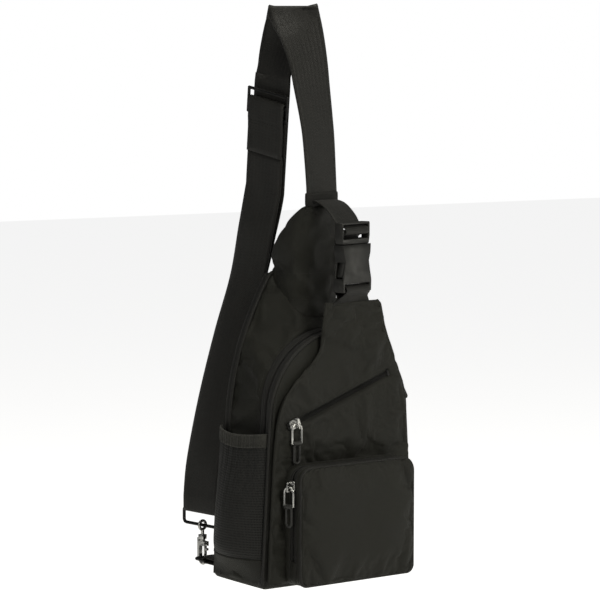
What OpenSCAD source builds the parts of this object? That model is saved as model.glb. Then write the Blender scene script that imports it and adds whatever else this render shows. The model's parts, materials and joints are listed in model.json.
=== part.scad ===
// Sling bag hanging by its shoulder strap.
// Millimetres. +Z is up, the front of the bag faces -Y, and +X is to the right seen from the front.
// The origin is on the underside of the base, at the middle of its width.

/* [Body] */
// Width of the base
base_w = 176; // [168:1:184]
// Width of the back panel at its upper edge
top_w = 60; // [56:1:70]
// Width of the back panel where its sides start to draw in
waist_w = 154; // [148:1:160]
// Height of the back panel's upper edge
top_z = 290; // [284:1:296]
// Height where the back panel's sides start to draw in
waist_z = 141; // [130:1:150]
// Radius of the arch at the front seam
front_r = 79; // [77:1:81]
// Height of the front arch's centre
front_z = 158; // [154:1:160]
// Radius of the arch at the rear edge of the main zip
zip_r = 74; // [72:1:76]
// Height of that arch's centre
zip_z = 165; // [162:1:168]
// Thickness of the padded back panel
pad_t = 14; // [12:1:14]
// Thickness of a fabric panel
cloth = 1.6; // [1.2:0.1:1.8]

/* [Front pocket] */
// Width of the front pocket
pocket_w = 132; // [128:1:134]
// Height of the front pocket's top edge
pocket_top = 114; // [110:1:116]
// Depth of the front pocket
pocket_d = 25; // [24:1:26]

/* [Side pockets] */
// How far the mesh stands off the gusset
mesh_gap = 14; // [13:1:15]
// Height of the pocket's elastic top
mesh_top = 146; // [140:1:148]

/* [Zips] */
// Width of a zip's coil
coil_w = 4; // [3.6:0.1:4.2]
// Length of the diagonal zip
diag_len = 128; // [124:1:128]
// Slope of the diagonal zip in degrees
diag_slope = 20; // [18:1:22]

/* [Strap] */
// Width of the shoulder strap
strap_w = 48; // [46:1:48]
// Thickness of the webbing
web_t = 1.6; // [1.4:0.1:1.6]
// Width of the front webbing
front_web_w = 38; // [36:1:38]

/* [Hidden] */

// Depths of the seams, front to back
front_y = -45;
zip_y = -22;
rear_y = 25;
back_y = rear_y + pad_t;
coil_y = (front_y + zip_y) / 2;
base_t = 2;
gap = 0.3;

black = "#20201f";
web_black = "#2a2a29";
mesh_black = "#333330";
metal = "#a9aaa8";
rubber = "#3a3a3a";

// ---------- vectors and lofts ----------
function lerp(a, b, t) = a + (b - a) * t;
function unit(v) = v / norm(v);
function bezier(p, t) =
    p[0] * pow(1 - t, 3) + p[1] * 3 * t * pow(1 - t, 2) + p[2] * 3 * t * t * (1 - t) + p[3] * pow(t, 3);
function catmull(a, b, c, d, t) =
    0.5 * (2 * b + (c - a) * t + (2 * a - 5 * b + 4 * c - d) * t * t + (3 * b - a - 3 * c + d) * t * t * t);

// Smooth curve through hand-placed points, with n steps between neighbours
function smooth(p, n) = concat(
    [for (i = [0:len(p) - 2]) for (k = [0:n - 1])
        catmull(p[max(i - 1, 0)], p[i], p[i + 1], p[min(i + 2, len(p) - 1)], k / n)],
    [p[len(p) - 1]]);

// Solid through rings that turn right-handed about the way they advance. A thin ring runs out along one
// side and back along the other, so its ends are capped rung by rung.
module loft(rings, closed = false, thin = false) {
    m = len(rings[0]);
    n = len(rings);
    last = closed ? n - 1 : n - 2;
    sides = [for (i = [0:last]) for (j = [0:m - 1])
        let (a = i * m + j, b = i * m + (j + 1) % m, c = (a + m) % (n * m), d = (b + m) % (n * m))
        each [[a, d, b], [a, c, d]]];
    cap = thin
        ? [for (j = [0:m / 2 - 2]) each [[j, j + 1, m - 2 - j], [j, m - 2 - j, m - 1 - j]]]
        : [for (j = [1:m - 2]) [0, j, j + 1]];
    end_cap = [for (f = cap) [for (k = [2:-1:0]) (n - 1) * m + f[k]]];
    polyhedron(points = [for (r = rings) for (p = r) p],
               faces = closed ? sides : concat(sides, cap, end_cap));
}

// Rectangular ring of webbing at a place, across u and along s
function web_ring(p, s, u, w, t) =
    let (n = unit(cross(s, u)), v = unit(cross(n, s)))
    [p + v * w / 2 + n * t / 2, p - v * w / 2 + n * t / 2,
     p - v * w / 2 - n * t / 2, p + v * w / 2 - n * t / 2];
function heading(p, i) = unit(p[min(i + 1, len(p) - 1)] - p[max(i - 1, 0)]);

// Webbing along rows of [x, y, z, yaw of its width in degrees]
function xyz(r) = [r[0], r[1], r[2]];
function web_rings(rows, w, t) =
    let (p = [for (r = rows) xyz(r)])
    [for (i = [0:len(p) - 1]) web_ring(p[i], heading(p, i), [cos(rows[i][3]), sin(rows[i][3]), 0], w, t)];

// Round wire along points in the XZ plane at depth y
function tube_rings(p, y, r, sides, closed) =
    [for (i = [0:len(p) - 1])
        let (a = closed ? p[(i + len(p) - 1) % len(p)] : p[max(i - 1, 0)],
             b = closed ? p[(i + 1) % len(p)] : p[min(i + 1, len(p) - 1)],
             s = unit([b[0] - a[0], 0, b[1] - a[1]]), v = cross(s, [0, 1, 0]))
        [for (k = [0:sides - 1]) [p[i][0], y, p[i][1]] + r * (v * cos(360 * k / sides)
            + cross(s, v) * sin(360 * k / sides))]];

// ---------- outlines of the body, right foot to crown to left foot, as [x, z] ----------
half_steps = 24;
leg_share = 0.45;
shoulder_share = 0.9;

function rear_half_w(z) = z < waist_z
    ? lerp(base_w / 2, waist_w / 2, z / waist_z)
    : waist_w / 2 - (waist_w - top_w) / 2 * pow((z - waist_z) / (top_z - waist_z), 2);
function rear_point(t) =
    t < leg_share ? let (z = lerp(base_t, waist_z, t / leg_share)) [rear_half_w(z), z]
    : t < shoulder_share
        ? let (z = lerp(waist_z, top_z, (t - leg_share) / (shoulder_share - leg_share))) [rear_half_w(z), z]
        : [lerp(top_w / 2, 0, (t - shoulder_share) / (1 - shoulder_share)),
           top_z + 3 * sin(90 * (t - shoulder_share) / (1 - shoulder_share))];
function arch_point(t, r, z) =
    t < leg_share
        ? [lerp(base_w / 2, r, t / leg_share), lerp(base_t, z, t / leg_share)]
        : let (a = 90 * (t - leg_share) / (1 - leg_share)) [r * cos(a), z + r * sin(a)];
function whole(half) = concat(half, [for (i = [len(half) - 2:-1:0]) [-half[i][0], half[i][1]]]);
rear_line = whole([for (i = [0:half_steps]) rear_point(i / half_steps)]);
zip_line = whole([for (i = [0:half_steps]) arch_point(i / half_steps, zip_r, zip_z)]);
front_line = whole([for (i = [0:half_steps]) arch_point(i / half_steps, front_r, front_z)]);

// A line moved inwards by d, keeping its two feet on the base
function inset(p, d) = [for (i = [0:len(p) - 1])
    let (a = p[max(i - 1, 0)], b = p[min(i + 1, len(p) - 1)], s = unit(b - a),
         q = p[i] + d * [-s[1], s[0]])
    (i == 0 || i == len(p) - 1) ? [q[0], p[i][1]] : q];

// Strip of cloth between two lines at two depths, in a number of steps across
module strip(a, ya, b, yb, outer, inner, steps = 1) {
    a_out = inset(a, -outer);
    a_in = inset(a, inner);
    b_out = inset(b, -outer);
    b_in = inset(b, inner);
    loft([for (i = [0:len(a) - 1]) concat(
        [for (k = [0:steps]) let (p = lerp(a_in[i], b_in[i], k / steps)) [p[0], lerp(ya, yb, k / steps), p[1]]],
        [for (k = [steps:-1:0]) let (p = lerp(a_out[i], b_out[i], k / steps))
            [p[0], lerp(ya, yb, k / steps), p[1]]])], thin = true);
}

// Flat panel with the outline p, from depth y0 back to y1
module panel(p, y0, y1) {
    translate([0, y1, 0]) rotate([90, 0, 0]) linear_extrude(y1 - y0) polygon(p);
}

// ---------- main compartment ----------
foam_t = pad_t - 4;
lining_t = 0.8;
lining_gap = 1;
gusset_steps = 4;
module base_panel() color(black)
    translate([-base_w / 2, front_y, 0]) cube([base_w, back_y - front_y, base_t]);
module back_cover() color(black) difference() {
    panel(rear_line, rear_y, back_y);
    panel(inset(rear_line, cloth), rear_y - 1, rear_y + 1 + foam_t);
}
module back_foam() color("#55554f")
    panel(inset(rear_line, cloth), rear_y + 1, rear_y + 1 + foam_t);
module back_lining() color("#4a4a46")
    panel(inset(rear_line, cloth), rear_y, rear_y + 1);
module rear_gusset() color(black)
    strip(rear_line, rear_y, zip_line, zip_y, 0, cloth, gusset_steps);
module main_lining() color("#4a4a46")
    strip(inset(rear_line, cloth + lining_gap), rear_y, inset(zip_line, cloth + lining_gap), zip_y, 0, lining_t,
        gusset_steps);

// The arched zip: a tape each side of the coil
function arch_line(share) = [for (i = [0:len(zip_line) - 1]) lerp(zip_line[i], front_line[i], share)];
tape_share = 0.5 - coil_w / 2 / (zip_y - front_y);
module main_zip_tape() color(web_black) {
    strip(zip_line, zip_y, arch_line(tape_share), coil_y + coil_w / 2, 0, cloth);
    strip(arch_line(1 - tape_share), coil_y - coil_w / 2, front_line, front_y, 0, cloth);
}
module main_zip_coil() color("#111111")
    strip(arch_line(tape_share), coil_y + coil_w / 2,
          arch_line(1 - tape_share), coil_y - coil_w / 2, 1.2, cloth);
module front_panel() color(black) panel(front_line, front_y - cloth, front_y);

pipe_r = 1.9;
module front_piping() color(web_black)
    loft(tube_rings(inset(front_line, -pipe_r - gap), front_y, pipe_r, 8, false));
module rear_piping() color(web_black)
    loft(tube_rings(inset(rear_line, -pipe_r - gap), rear_y, pipe_r, 8, false));

// ---------- front overlay with its diagonal zip ----------
overlay_y = front_y - cloth - 0.4;
overlay_t = 3;
neck_lean = 9;
neck_z = 226;
overlay_top = 268;
overlay_left = concat(
    [for (z = [4, 40, 80, 120]) [-lerp(base_w / 2, front_r, z / front_z) + 1, z]],
    [for (k = [0:10]) bezier([[-77, 150], [-70, 196], [-30, 204], [-26, neck_z]], k / 10)],
    [for (z = [240, 254]) [-26, z]], [[-26, overlay_top]]);
overlay_right = concat(
    [for (z = [4, 40, 80, 120]) [lerp(base_w / 2, front_r, z / front_z) - 1, z]],
    [for (k = [0:10]) bezier([[78.5, 145], [77, 180], [66, 208], [54, neck_z + 4]], k / 10)],
    [[48, 243], [43, 256]], [[36, overlay_top]]);
function overlay_depth(z) = overlay_y - neck_lean * pow(max(z - 205, 0) / (overlay_top - 205), 1.5);
diag_mid = [-4.5, 173.5];
diag_along = [cos(diag_slope), 0, sin(diag_slope)];
slot_w = 9;

// Puts things drawn along +X, standing off +Z, on the overlay's face at the diagonal zip
module on_overlay() {
    translate([diag_mid[0], overlay_y - overlay_t, diag_mid[1]]) rotate([0, -diag_slope, 0]) rotate([90, 0, 0])
        children();
}
module front_overlay() color(black) difference() {
    loft([for (i = [0:len(overlay_left) - 1])
        let (l = overlay_left[i], r = overlay_right[i], yl = overlay_depth(l[1]), yr = overlay_depth(r[1])) [
        [r[0], yr, r[1]], [l[0], yl, l[1]],
        [l[0], yl - overlay_t, l[1]], [r[0], yr - overlay_t, r[1]]]]);
    on_overlay() translate([-diag_len / 2, -slot_w / 2, -overlay_t - 1]) cube([diag_len, slot_w, overlay_t + 2]);
}

tape_drop = 1.2;
coil_h = 1.4;
module diagonal_zip_tape() color(web_black) on_overlay() {
    for (side = [-1, 1])
        translate([-diag_len / 2, side * (slot_w + coil_w) / 4 - (slot_w - coil_w) / 4, -overlay_t])
            cube([diag_len, (slot_w - coil_w) / 2, overlay_t - tape_drop]);
}
module diagonal_zip_coil() color("#111111") on_overlay()
    translate([-diag_len / 2, -coil_w / 2, -overlay_t])
        cube([diag_len, coil_w, overlay_t - tape_drop + coil_h]);
stop_l = 2;
module diagonal_zip_stops() color(metal) on_overlay() for (x = [-diag_len / 2, diag_len / 2 - stop_l])
    translate([x, -coil_w / 2 - 1, coil_h - tape_drop]) cube([stop_l, coil_w + 2, 1.2]);

// ---------- sliders and pulls ----------
slider_l = 12;
slider_w = 9;
slider_plate = 1.4;
bridge_in = 4.4;
bridge_t = 1.4;
bridge_out = 4.5;
wire_r = 1.1;

// Slider on a zip that runs along X, with z = 0 at the top of the coil
module slider(across = false) {
    corner = 2.5;
    translate([corner - slider_l / 2, -slider_w / 2, gap])
        cube([slider_l - 2 * corner, slider_w, slider_plate]);
    translate([-slider_l / 2, corner - slider_w / 2, gap])
        cube([slider_l, slider_w - 2 * corner, slider_plate]);
    for (x = [-1, 1]) for (y = [-1, 1])
        translate([x * (slider_l / 2 - corner), y * (slider_w / 2 - corner), gap])
            cylinder(h = slider_plate, r = corner, $fn = 32);
    // side flanges, either side of the coil
    for (side = [-1, 1])
        translate([-slider_l / 2 + 2, side * (coil_w / 2 + 1) - 0.5, gap - 0.9])
            cube([slider_l - 4, 1, 1.1]);
    // bridge that carries the pull
    rotate([0, 0, across ? 90 : 0]) translate([0, bridge_t / 2, gap + slider_plate]) rotate([90, 0, 0])
        linear_extrude(bridge_t) difference() {
            translate([-bridge_out, -0.2]) square([2 * bridge_out, bridge_in + bridge_t + 0.2]);
            translate([bridge_t - bridge_out, 0]) square([2 * (bridge_out - bridge_t), bridge_in]);
        }
}
// Height of the pull's wire over the top of the coil
wire_h = gap + slider_plate + bridge_in - wire_r - 0.35;

link_r = 5.4;
link_leg = 13;
bar_z = -link_r - link_leg;
// Link that hangs down -Z from a wire along X through the origin, facing -Y
module pull_link() {
    translate([0, 0, -link_r]) rotate([90, 0, 0]) rotate_extrude(angle = 180, $fn = 40)
        translate([link_r, 0]) circle(r = wire_r, $fn = 16);
    for (side = [-1, 1]) translate([side * link_r, 0, bar_z]) cylinder(h = link_leg, r = wire_r, $fn = 16);
    translate([-link_r, 0, bar_z]) rotate([0, 90, 0]) cylinder(h = 2 * link_r, r = wire_r, $fn = 16);
}
loop_r = 4.4;
loop_wire = 1.3;
loop_leg = 16;
sleeve_r = 2.4;
// Moulded loop that is closed round the link's lower bar
module pull_loop() difference() {
    union() {
        translate([-loop_r, 0, bar_z]) rotate([0, 90, 0]) cylinder(h = loop_r * 2, r = sleeve_r, $fn = 24);
        for (side = [-1, 1]) translate([side * (loop_r - loop_wire), 0, bar_z - loop_leg])
            cylinder(h = loop_leg, r = loop_wire, $fn = 16);
        translate([0, 0, bar_z - loop_leg]) rotate([-90, 0, 0]) rotate_extrude(angle = 180, $fn = 40)
            translate([loop_r - loop_wire, 0]) circle(r = loop_wire, $fn = 16);
    }
    translate([-link_r, 0, bar_z]) rotate([0, 90, 0]) cylinder(h = 2 * link_r, r = wire_r + 0.05, $fn = 24);
}

// Diagonal zip's slider at its lower end
diag_start = -diag_len / 2 + stop_l + slider_l / 2 + 0.5;
module at_diagonal_slider() on_overlay() translate([diag_start, 0, coil_h - tape_drop]) children();
module at_diagonal_pull() {
    translate([diag_mid[0], overlay_y - overlay_t - (coil_h - tape_drop) - wire_h, diag_mid[1]]
        + diag_along * diag_start) children();
}
module diagonal_slider() color(metal) at_diagonal_slider() slider(across = true);
module diagonal_pull_link() color(metal) at_diagonal_pull() pull_link();
module diagonal_pull_loop() color(rubber) at_diagonal_pull() pull_loop();

// Main zip's slider, at an angle up the arch from its centre's height
arch_r = (front_r + zip_r) / 2;
arch_z = (front_z + zip_z) / 2;
main_angle = 28;
module at_main_slider() translate([0, coil_y, arch_z]) rotate([0, -main_angle, 0])
    translate([arch_r + 1.2, 0, 0]) rotate([0, 90, 0]) children();
module at_main_pull() translate([0, coil_y, arch_z]) rotate([0, -main_angle, 0])
    translate([arch_r + 1.2 + wire_h, 0, 0]) rotate([0, 0, 90]) children();
module main_slider() color(metal) at_main_slider() slider();
module main_pull_link() color(metal) at_main_pull() pull_link();
module main_pull_loop() color(rubber) at_main_pull() pull_loop();

// ---------- front pocket ----------
pocket_back = overlay_y - overlay_t - 0.2;
pocket_low = 4;
pocket_r = 12;
pocket_foot_r = 6;
zip_back = pocket_back - 8;
zip_front = pocket_back - pocket_d + 7;
pocket_coil_y = (zip_back + zip_front) / 2;
zip_foot = 24;
corner_steps = 6;
function arc(c, r, a0, a1) = [for (k = [0:corner_steps]) let (a = lerp(a0, a1, k / corner_steps))
    [c[0] + r * cos(a), c[1] + r * sin(a)]];
// Closed outline of the pocket, moved inwards by d
function pocket_line(d) = concat(
    arc([pocket_w / 2 - pocket_foot_r, pocket_low + pocket_foot_r], pocket_foot_r - d, -90, 0),
    arc([pocket_w / 2 - pocket_r, pocket_top - pocket_r], pocket_r - d, 0, 90),
    arc([-pocket_w / 2 + pocket_r, pocket_top - pocket_r], pocket_r - d, 90, 180),
    arc([-pocket_w / 2 + pocket_foot_r, pocket_low + pocket_foot_r], pocket_foot_r - d, 180, 270));
module pocket_ring(y0, y1, outer, inner) difference() {
    panel(pocket_line(-outer), y0, y1);
    panel(pocket_line(inner), y0 - 1, y1 + 1);
}
// Everything above or below the zip's feet
module above_zip_foot() translate([-pocket_w, -200, zip_foot]) cube([pocket_w * 2, 200, pocket_top]);
module pocket_gusset() color(black) {
    pocket_ring(zip_back, pocket_back, 0, cloth);
    difference() {
        pocket_ring(zip_front, zip_back, 0, cloth);
        above_zip_foot();
    }
}
module pocket_zip_tape() color(web_black) intersection() {
    union() {
        pocket_ring(pocket_coil_y + coil_w / 2, zip_back, 0, cloth);
        pocket_ring(zip_front, pocket_coil_y - coil_w / 2, 0, cloth);
    }
    above_zip_foot();
}
module pocket_zip_coil() color("#111111") intersection() {
    pocket_ring(pocket_coil_y - coil_w / 2, pocket_coil_y + coil_w / 2, 1.2, cloth);
    above_zip_foot();
}
module pocket_rim() color(black) pocket_ring(zip_front - 7 + cloth, zip_front, 0, cloth);
module pocket_face() color(black) panel(pocket_line(0), zip_front - 7, zip_front - 7 + cloth);
module pocket_piping() color(web_black)
    loft(tube_rings(pocket_line(-1.5 - gap), zip_front - 7, 1.5, 8, true), true);

pocket_slider_z = 97;
pull_turn = 75;
module at_side_slider(side) translate([side * (pocket_w / 2 + 1.2), pocket_coil_y, pocket_slider_z])
    rotate([0, side * 90, 0]) children();
module at_side_pull(side) translate([side * (pocket_w / 2 + 1.2 + wire_h), pocket_coil_y, pocket_slider_z])
    rotate([0, 0, side * pull_turn]) children();
module left_slider() color(metal) at_side_slider(-1) slider();
module left_pull_link() color(metal) at_side_pull(-1) pull_link();
module left_pull_loop() color(rubber) at_side_pull(-1) pull_loop();
module right_slider() color(metal) at_side_slider(1) slider();
module right_pull_link() color(metal) at_side_pull(1) pull_link();
module right_pull_loop() color(rubber) at_side_pull(1) pull_loop();

// ---------- side mesh pockets ----------
mesh_front_y = front_y + pipe_r + gap + 0.2;
mesh_rear_y = back_y - 1;
mesh_steps = 12;
hem_z = 26;
hem_t = 1.6;
// Half width of the body at a height and depth
function body_half_w(z, y) = y > rear_y ? rear_half_w(z)
    : y > zip_y ? lerp(lerp(base_w / 2, zip_r, z / zip_z), rear_half_w(z), (y - zip_y) / (rear_y - zip_y))
    : lerp(lerp(base_w / 2, front_r, z / front_z), lerp(base_w / 2, zip_r, z / zip_z),
           (y - front_y) / (zip_y - front_y));
function mesh_bulge(z) = lerp(mesh_gap - 3, mesh_gap, z / mesh_top);
function mesh_x(z, y) =
    let (t = (y - mesh_front_y) / (mesh_rear_y - mesh_front_y))
    body_half_w(z, y) + 0.4 + mesh_bulge(z) * pow(sin(180 * t), 0.6);
function mesh_ring(z, t) = concat(
    [for (k = [0:mesh_steps]) let (y = lerp(mesh_front_y, mesh_rear_y, k / mesh_steps))
        [mesh_x(z, y) + t, y, z]],
    [for (k = [mesh_steps:-1:0]) let (y = lerp(mesh_front_y, mesh_rear_y, k / mesh_steps))
        [mesh_x(z, y), y, z]]);
module mesh_wall(z0, z1, t) loft([for (k = [0:6]) mesh_ring(lerp(z0, z1, k / 6), t)], thin = true);
band_h = 13;
floor_t = 2;
seam_room = pipe_r * 2 + 0.4;
// Hem and floor in one piece, an L in section, with room for the rear piping and the main zip's coil
coil_room = 1.5;
module mesh_foot() loft([for (k = [0:mesh_steps])
    let (y = lerp(mesh_front_y, mesh_rear_y, k / mesh_steps), floor_top = base_t + floor_t,
         room = abs(y - rear_y) < 3.5 ? seam_room : abs(y - coil_y) < 5 ? coil_room : 0.1,
         body_x = body_half_w(base_t, y) + room) [
        [mesh_x(floor_top, y), y, floor_top],
        [mesh_x(hem_z, y), y, hem_z],
        [mesh_x(hem_z, y) + hem_t, y, hem_z],
        [mesh_x(base_t, y) + hem_t, y, base_t],
        [body_x, y, base_t],
        [body_x, y, floor_top]]]);
module right_mesh() color(mesh_black) mesh_wall(hem_z, mesh_top - band_h, 1.2);
module right_mesh_band() color(web_black) mesh_wall(mesh_top - band_h, mesh_top, 2.2);
module right_mesh_base() color(black) mesh_foot();
module left_mesh() mirror([1, 0, 0]) right_mesh();
module left_mesh_band() mirror([1, 0, 0]) right_mesh_band();
module left_mesh_base() mirror([1, 0, 0]) right_mesh_base();

// ---------- yoke and buckle ----------
// Rows of [x, y, z, yaw, half width, half depth, tilt] up the yoke's middle
yoke_rows = smooth([
    [0, 9, 300, 0, 30, 24, 0.55], [0, 5, 318, 2, 30, 21, 0.25], [0, -1, 333, 5, 29, 16.5, 0.05],
    [0, -8, 345, 10, 28, 11.5, 0], [0.3, -14, 353, 15, 26, 6.5, 0], [0.4, -16, 357.8, 17, 24.5, 3.2, 0]], 3);
yoke_foot_row = [0, 11, 0, 0, 29.5, 25, 0];
// Height just over the gusset and, further back, over the rear piping
function yoke_foot(y) = y > 15 ? top_z + 7.6
    : lerp(zip_z + zip_r, top_z + 3, (y - zip_y) / (rear_y - zip_y)) + 1;
// Rounded ring from the middle of the rear round to the middle of the rear
function yoke_ring(r) = [for (k = [0:15])
    let (a = 90 + 22.5 * (k + 0.5), across = r[4] * sign(cos(a)) * pow(abs(cos(a)), 0.6),
         back = r[5] * sign(sin(a)) * pow(abs(sin(a)), 0.6))
    [r[0] + across * cos(r[3]) - back * sin(r[3]), r[1] + across * sin(r[3]) + back * cos(r[3]),
     r[2] + r[6] * back]];
module yoke() color(black) loft(concat(
    [[for (p = yoke_ring(yoke_foot_row)) [p[0], p[1], yoke_foot(p[1])]]],
    [for (r = yoke_rows) yoke_ring(r)]), thin = true);

buckle_at = [4, -61, 310.5];
buckle_yaw = 17;
buckle_w = 46;
buckle_t = 12;
module at_buckle() translate(buckle_at) rotate([0, 0, buckle_yaw]) children();
// Outline in x and z, drawn across the buckle's thickness
module across(t) translate([0, t / 2, 0]) rotate([90, 0, 0]) linear_extrude(t) children();

male_foot = 12;
male_top = 33;
female_low = -33;
cavity_w = 34;
cavity_t = 8.4;
window_low = -20;
window_top = -4.5;
bar_gap = 5;
module buckle_male() color("#1b1b1b") at_buckle() {
    difference() {
        across(buckle_t - 3) polygon([[-21, male_foot + gap], [21, male_foot + gap], [22.5, 20], [22.5, male_top - 1],
            [21.5, male_top], [-21.5, male_top], [-22.5, male_top - 1], [-22.5, 20]]);
        for (z = [17.5, 26]) translate([-20, -buckle_t, z]) cube([40, buckle_t * 2, bar_gap]);
    }
    // guide tongue that runs down the middle of the female half
    across(5) translate([-3, -18]) square([6, 18 + male_foot + gap + 0.5]);
}
// Sprung side arm with a press pad that fills the window, drawn for +X
module prong() across(7) polygon([[13.2, male_foot + gap - 0.5], [16.4, male_foot + gap - 0.5], [16.5, -4.8],
    [20.4, -17], [19.5, -19.3], [16.5, -19.3], [15.6, -21.5], [13.2, -21.5]]);
module buckle_prong_right() color("#1b1b1b") at_buckle() prong();
module buckle_prong_left() color("#1b1b1b") at_buckle() mirror([1, 0, 0]) prong();
module buckle_female() color("#1b1b1b") at_buckle() difference() {
    across(buckle_t) polygon([[-22, male_foot], [-21.5, 4], [-19, -4], [-20.5, -12], [-22.5, -20], [-23, -24],
        [-22.5, female_low], [22.5, female_low], [23, -24], [22.5, -20], [20.5, -12], [19, -4], [21.5, 4],
        [22, male_foot]]);
    across(cavity_t) translate([-cavity_w / 2, -22]) square([cavity_w, 22 + male_foot + 1]);
    across(cavity_t) translate([-buckle_w, window_low]) square([buckle_w * 2, window_top - window_low]);
    translate([-20, -buckle_t, female_low + 3]) cube([40, buckle_t * 2, bar_gap]);
}

// Webbing from the yoke's peak over to the male half's middle bar
yoke_web_rows = smooth([
    [1.6, -21.1, 361, 17], [3.2, -26.4, 360.6, 17], [3.3, -38, 356.5, 17], [3.4, -47, 350.5, 17],
    [3.4, -52.5, 344.5, 17], [3.5, -54.5, 339, 17]], 3);
module yoke_webbing() color(web_black) loft(web_rings(yoke_web_rows, front_web_w, web_t));
overlay_web_rows = smooth([
    [4, -61, 277, 17], [4, -61, 274.5, 17], [4, -60, 271.5, 11], [4, -58.4, 268.4, 2]], 3);
module overlay_webbing() color(web_black) {
    loft(web_rings(overlay_web_rows, front_web_w, web_t));
}

// ---------- shoulder strap ----------
strap_yaw = -82;
// Straight stretch that the tri-glide runs on, from its upper to its lower end
run_top = [-31, 20, 480];
run_low = [-22, 43, 373];
run_dir = unit(run_low - run_top);
fold_at = [-14, 10, 544];
fold_yaw = -36;
fold_r = 3.5;
fold_n = [sin(fold_yaw), -cos(fold_yaw), 0];
ring_at = [-81.5, 68.5, 58];
ring_turn_r = 2.9;
leg_out = [sin(strap_yaw), -cos(strap_yaw), 0];
layer_gap = 4.5;

right_leg = smooth([
    [0.5, -17, 358.2, 17], [0.3, -16.3, 378, 18], [-1.2, -14.2, 419, 16], [-3, -12.5, 442, 14],
    [-6.7, -10, 473, 9], [-9.5, -8.5, 495, 5], [-13.5, -4.5, 518, -6], [-15.5, 2.5, 534, -24]], 3);
top_fold = [for (a = [0:30:180]) let (p = fold_at + fold_n * fold_r * cos(a) + [0, 0, fold_r * sin(a)])
    [p[0], p[1], p[2], fold_yaw]];
left_leg = smooth([
    [-13, 16.5, 531, -46], [-20.5, 20.5, 510, -68], [-27, 20, 493, -80], concat(run_top, [strap_yaw])], 3);
back_leg = smooth([
    concat(run_low, [strap_yaw]), [-19.5, 59, 335, strap_yaw], [-22, 73, 285, strap_yaw],
    [-38, 77, 229, strap_yaw], [-57, 75.5, 166, strap_yaw], [-72.5, 72, 105, strap_yaw],
    concat(ring_at - leg_out * ring_turn_r + [0, 0, 12], [strap_yaw])], 3);
low_fold = [for (a = [0:30:180])
    let (p = ring_at - leg_out * ring_turn_r * cos(a) - [0, 0, ring_turn_r * sin(a)])
    [p[0], p[1], p[2], strap_yaw]];
front_end = run_top + run_dir * 74.5 + leg_out * layer_gap;
front_leg = concat(smooth([
    concat(ring_at + leg_out * ring_turn_r + [0, 0, 12], [strap_yaw]), [-79, 70, 105, strap_yaw],
    [-64, 71, 166, strap_yaw], [-45, 71, 229, strap_yaw], [-29, 66, 285, strap_yaw],
    [-26.5, 54, 335, strap_yaw],
    concat(run_low + leg_out * layer_gap, [strap_yaw])], 3), [concat(front_end, [strap_yaw])]);
strap_rows = concat(right_leg, top_fold, left_leg, back_leg, low_fold, front_leg);
module shoulder_strap() color(web_black) loft(web_rings(strap_rows, strap_w, web_t));

// Stitched cover where the strap is sewn into the yoke
anchor_gap = 0.5;
module strap_anchor() color("#141414") for (side = [-1, 1])
    loft(web_rings([for (r = [[0.5, -17, 358, 17], [0.2, -16.4, 370, 17.5]])
        r + concat(side * (web_t + anchor_gap) * [-sin(17), cos(17), 0], [0])], strap_w + 1, 1.4));

// Tri-glide, drawn with the strap's way down as -Z, its width along X and its outer side towards -Y
glide_drop = 26;
glide_at = run_top + run_dir * glide_drop;
run_out = unit(cross(run_dir, [cos(strap_yaw), sin(strap_yaw), 0]));
glide_x = unit(cross(run_out, run_dir));
module at_glide()
    multmatrix([for (i = [0:2]) [glide_x[i], -run_out[i], -run_dir[i], glide_at[i]]]) children();
glide_w = 57;
glide_h = 26;
glide_t = 3;
bar_w = 3.2;
bar_r = glide_t / 2;
module tri_glide() color(metal) at_glide() translate([0, -layer_gap, 0]) {
    side = glide_w / 2 - bar_r;
    rise = glide_h / 2 - bar_r;
    for (z = [-rise, rise]) translate([-side, 0, z]) rotate([0, 90, 0])
        cylinder(h = 2 * side, r = bar_r, $fn = 24);
    for (x = [-side, side]) {
        translate([x, 0, -rise]) cylinder(h = 2 * rise, r = bar_r, $fn = 24);
        for (z = [-rise, rise]) translate([x, 0, z]) sphere(r = bar_r, $fn = 24);
    }
    translate([-side, -bar_r, -bar_w / 2]) cube([2 * side, glide_t, bar_w]);
}
loop_in = glide_t / 2 + gap;
loop_len = 50;
// Webbing end folded round the tri-glide's centre bar, a layer each side of the strap
module strap_end_loop() color(web_black) at_glide() translate([-strap_w / 2, -layer_gap, 0])
    rotate([90, 0, 90]) linear_extrude(strap_w) {
        for (side = [-1, 1]) translate([side * (loop_in + web_t / 2) - web_t / 2, -loop_len])
            square([web_t, loop_len + bar_w / 2]);
        translate([0, bar_w / 2]) difference() {
            circle(r = loop_in + web_t, $fn = 32);
            circle(r = loop_in, $fn = 32);
            translate([-loop_len, -loop_len]) square([2 * loop_len, loop_len]);
        }
    }

// ---------- strap ring, swivel clasp and corner ring ----------
ring_r = 1.6;
ring_half = 27;
ring_drop = 15;
bend_r = 3.5;
// Quarter bend of wire in the XZ plane, from +X round to +Z
module bend(r, wire) rotate([90, 0, 0]) rotate_extrude(angle = 90, $fn = 40)
    translate([r, 0]) circle(r = wire, $fn = 20);
module strap_ring() color(metal) translate(ring_at) rotate([0, 0, strap_yaw]) {
    for (z = [0, -ring_drop]) translate([-ring_half + bend_r, 0, z]) rotate([0, 90, 0])
        cylinder(h = 2 * (ring_half - bend_r), r = ring_r, $fn = 24);
    for (side = [-1, 1]) {
        translate([side * ring_half, 0, bend_r - ring_drop])
            cylinder(h = ring_drop - 2 * bend_r, r = ring_r, $fn = 24);
        for (up = [0, 1]) mirror([side < 0 ? 1 : 0, 0, 0])
            translate([ring_half - bend_r, 0, up ? -bend_r : bend_r - ring_drop])
                mirror([0, 0, up ? 0 : 1]) rotate([0, 0, 180]) mirror([1, 0, 0]) bend(bend_r, ring_r);
    }
}

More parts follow.
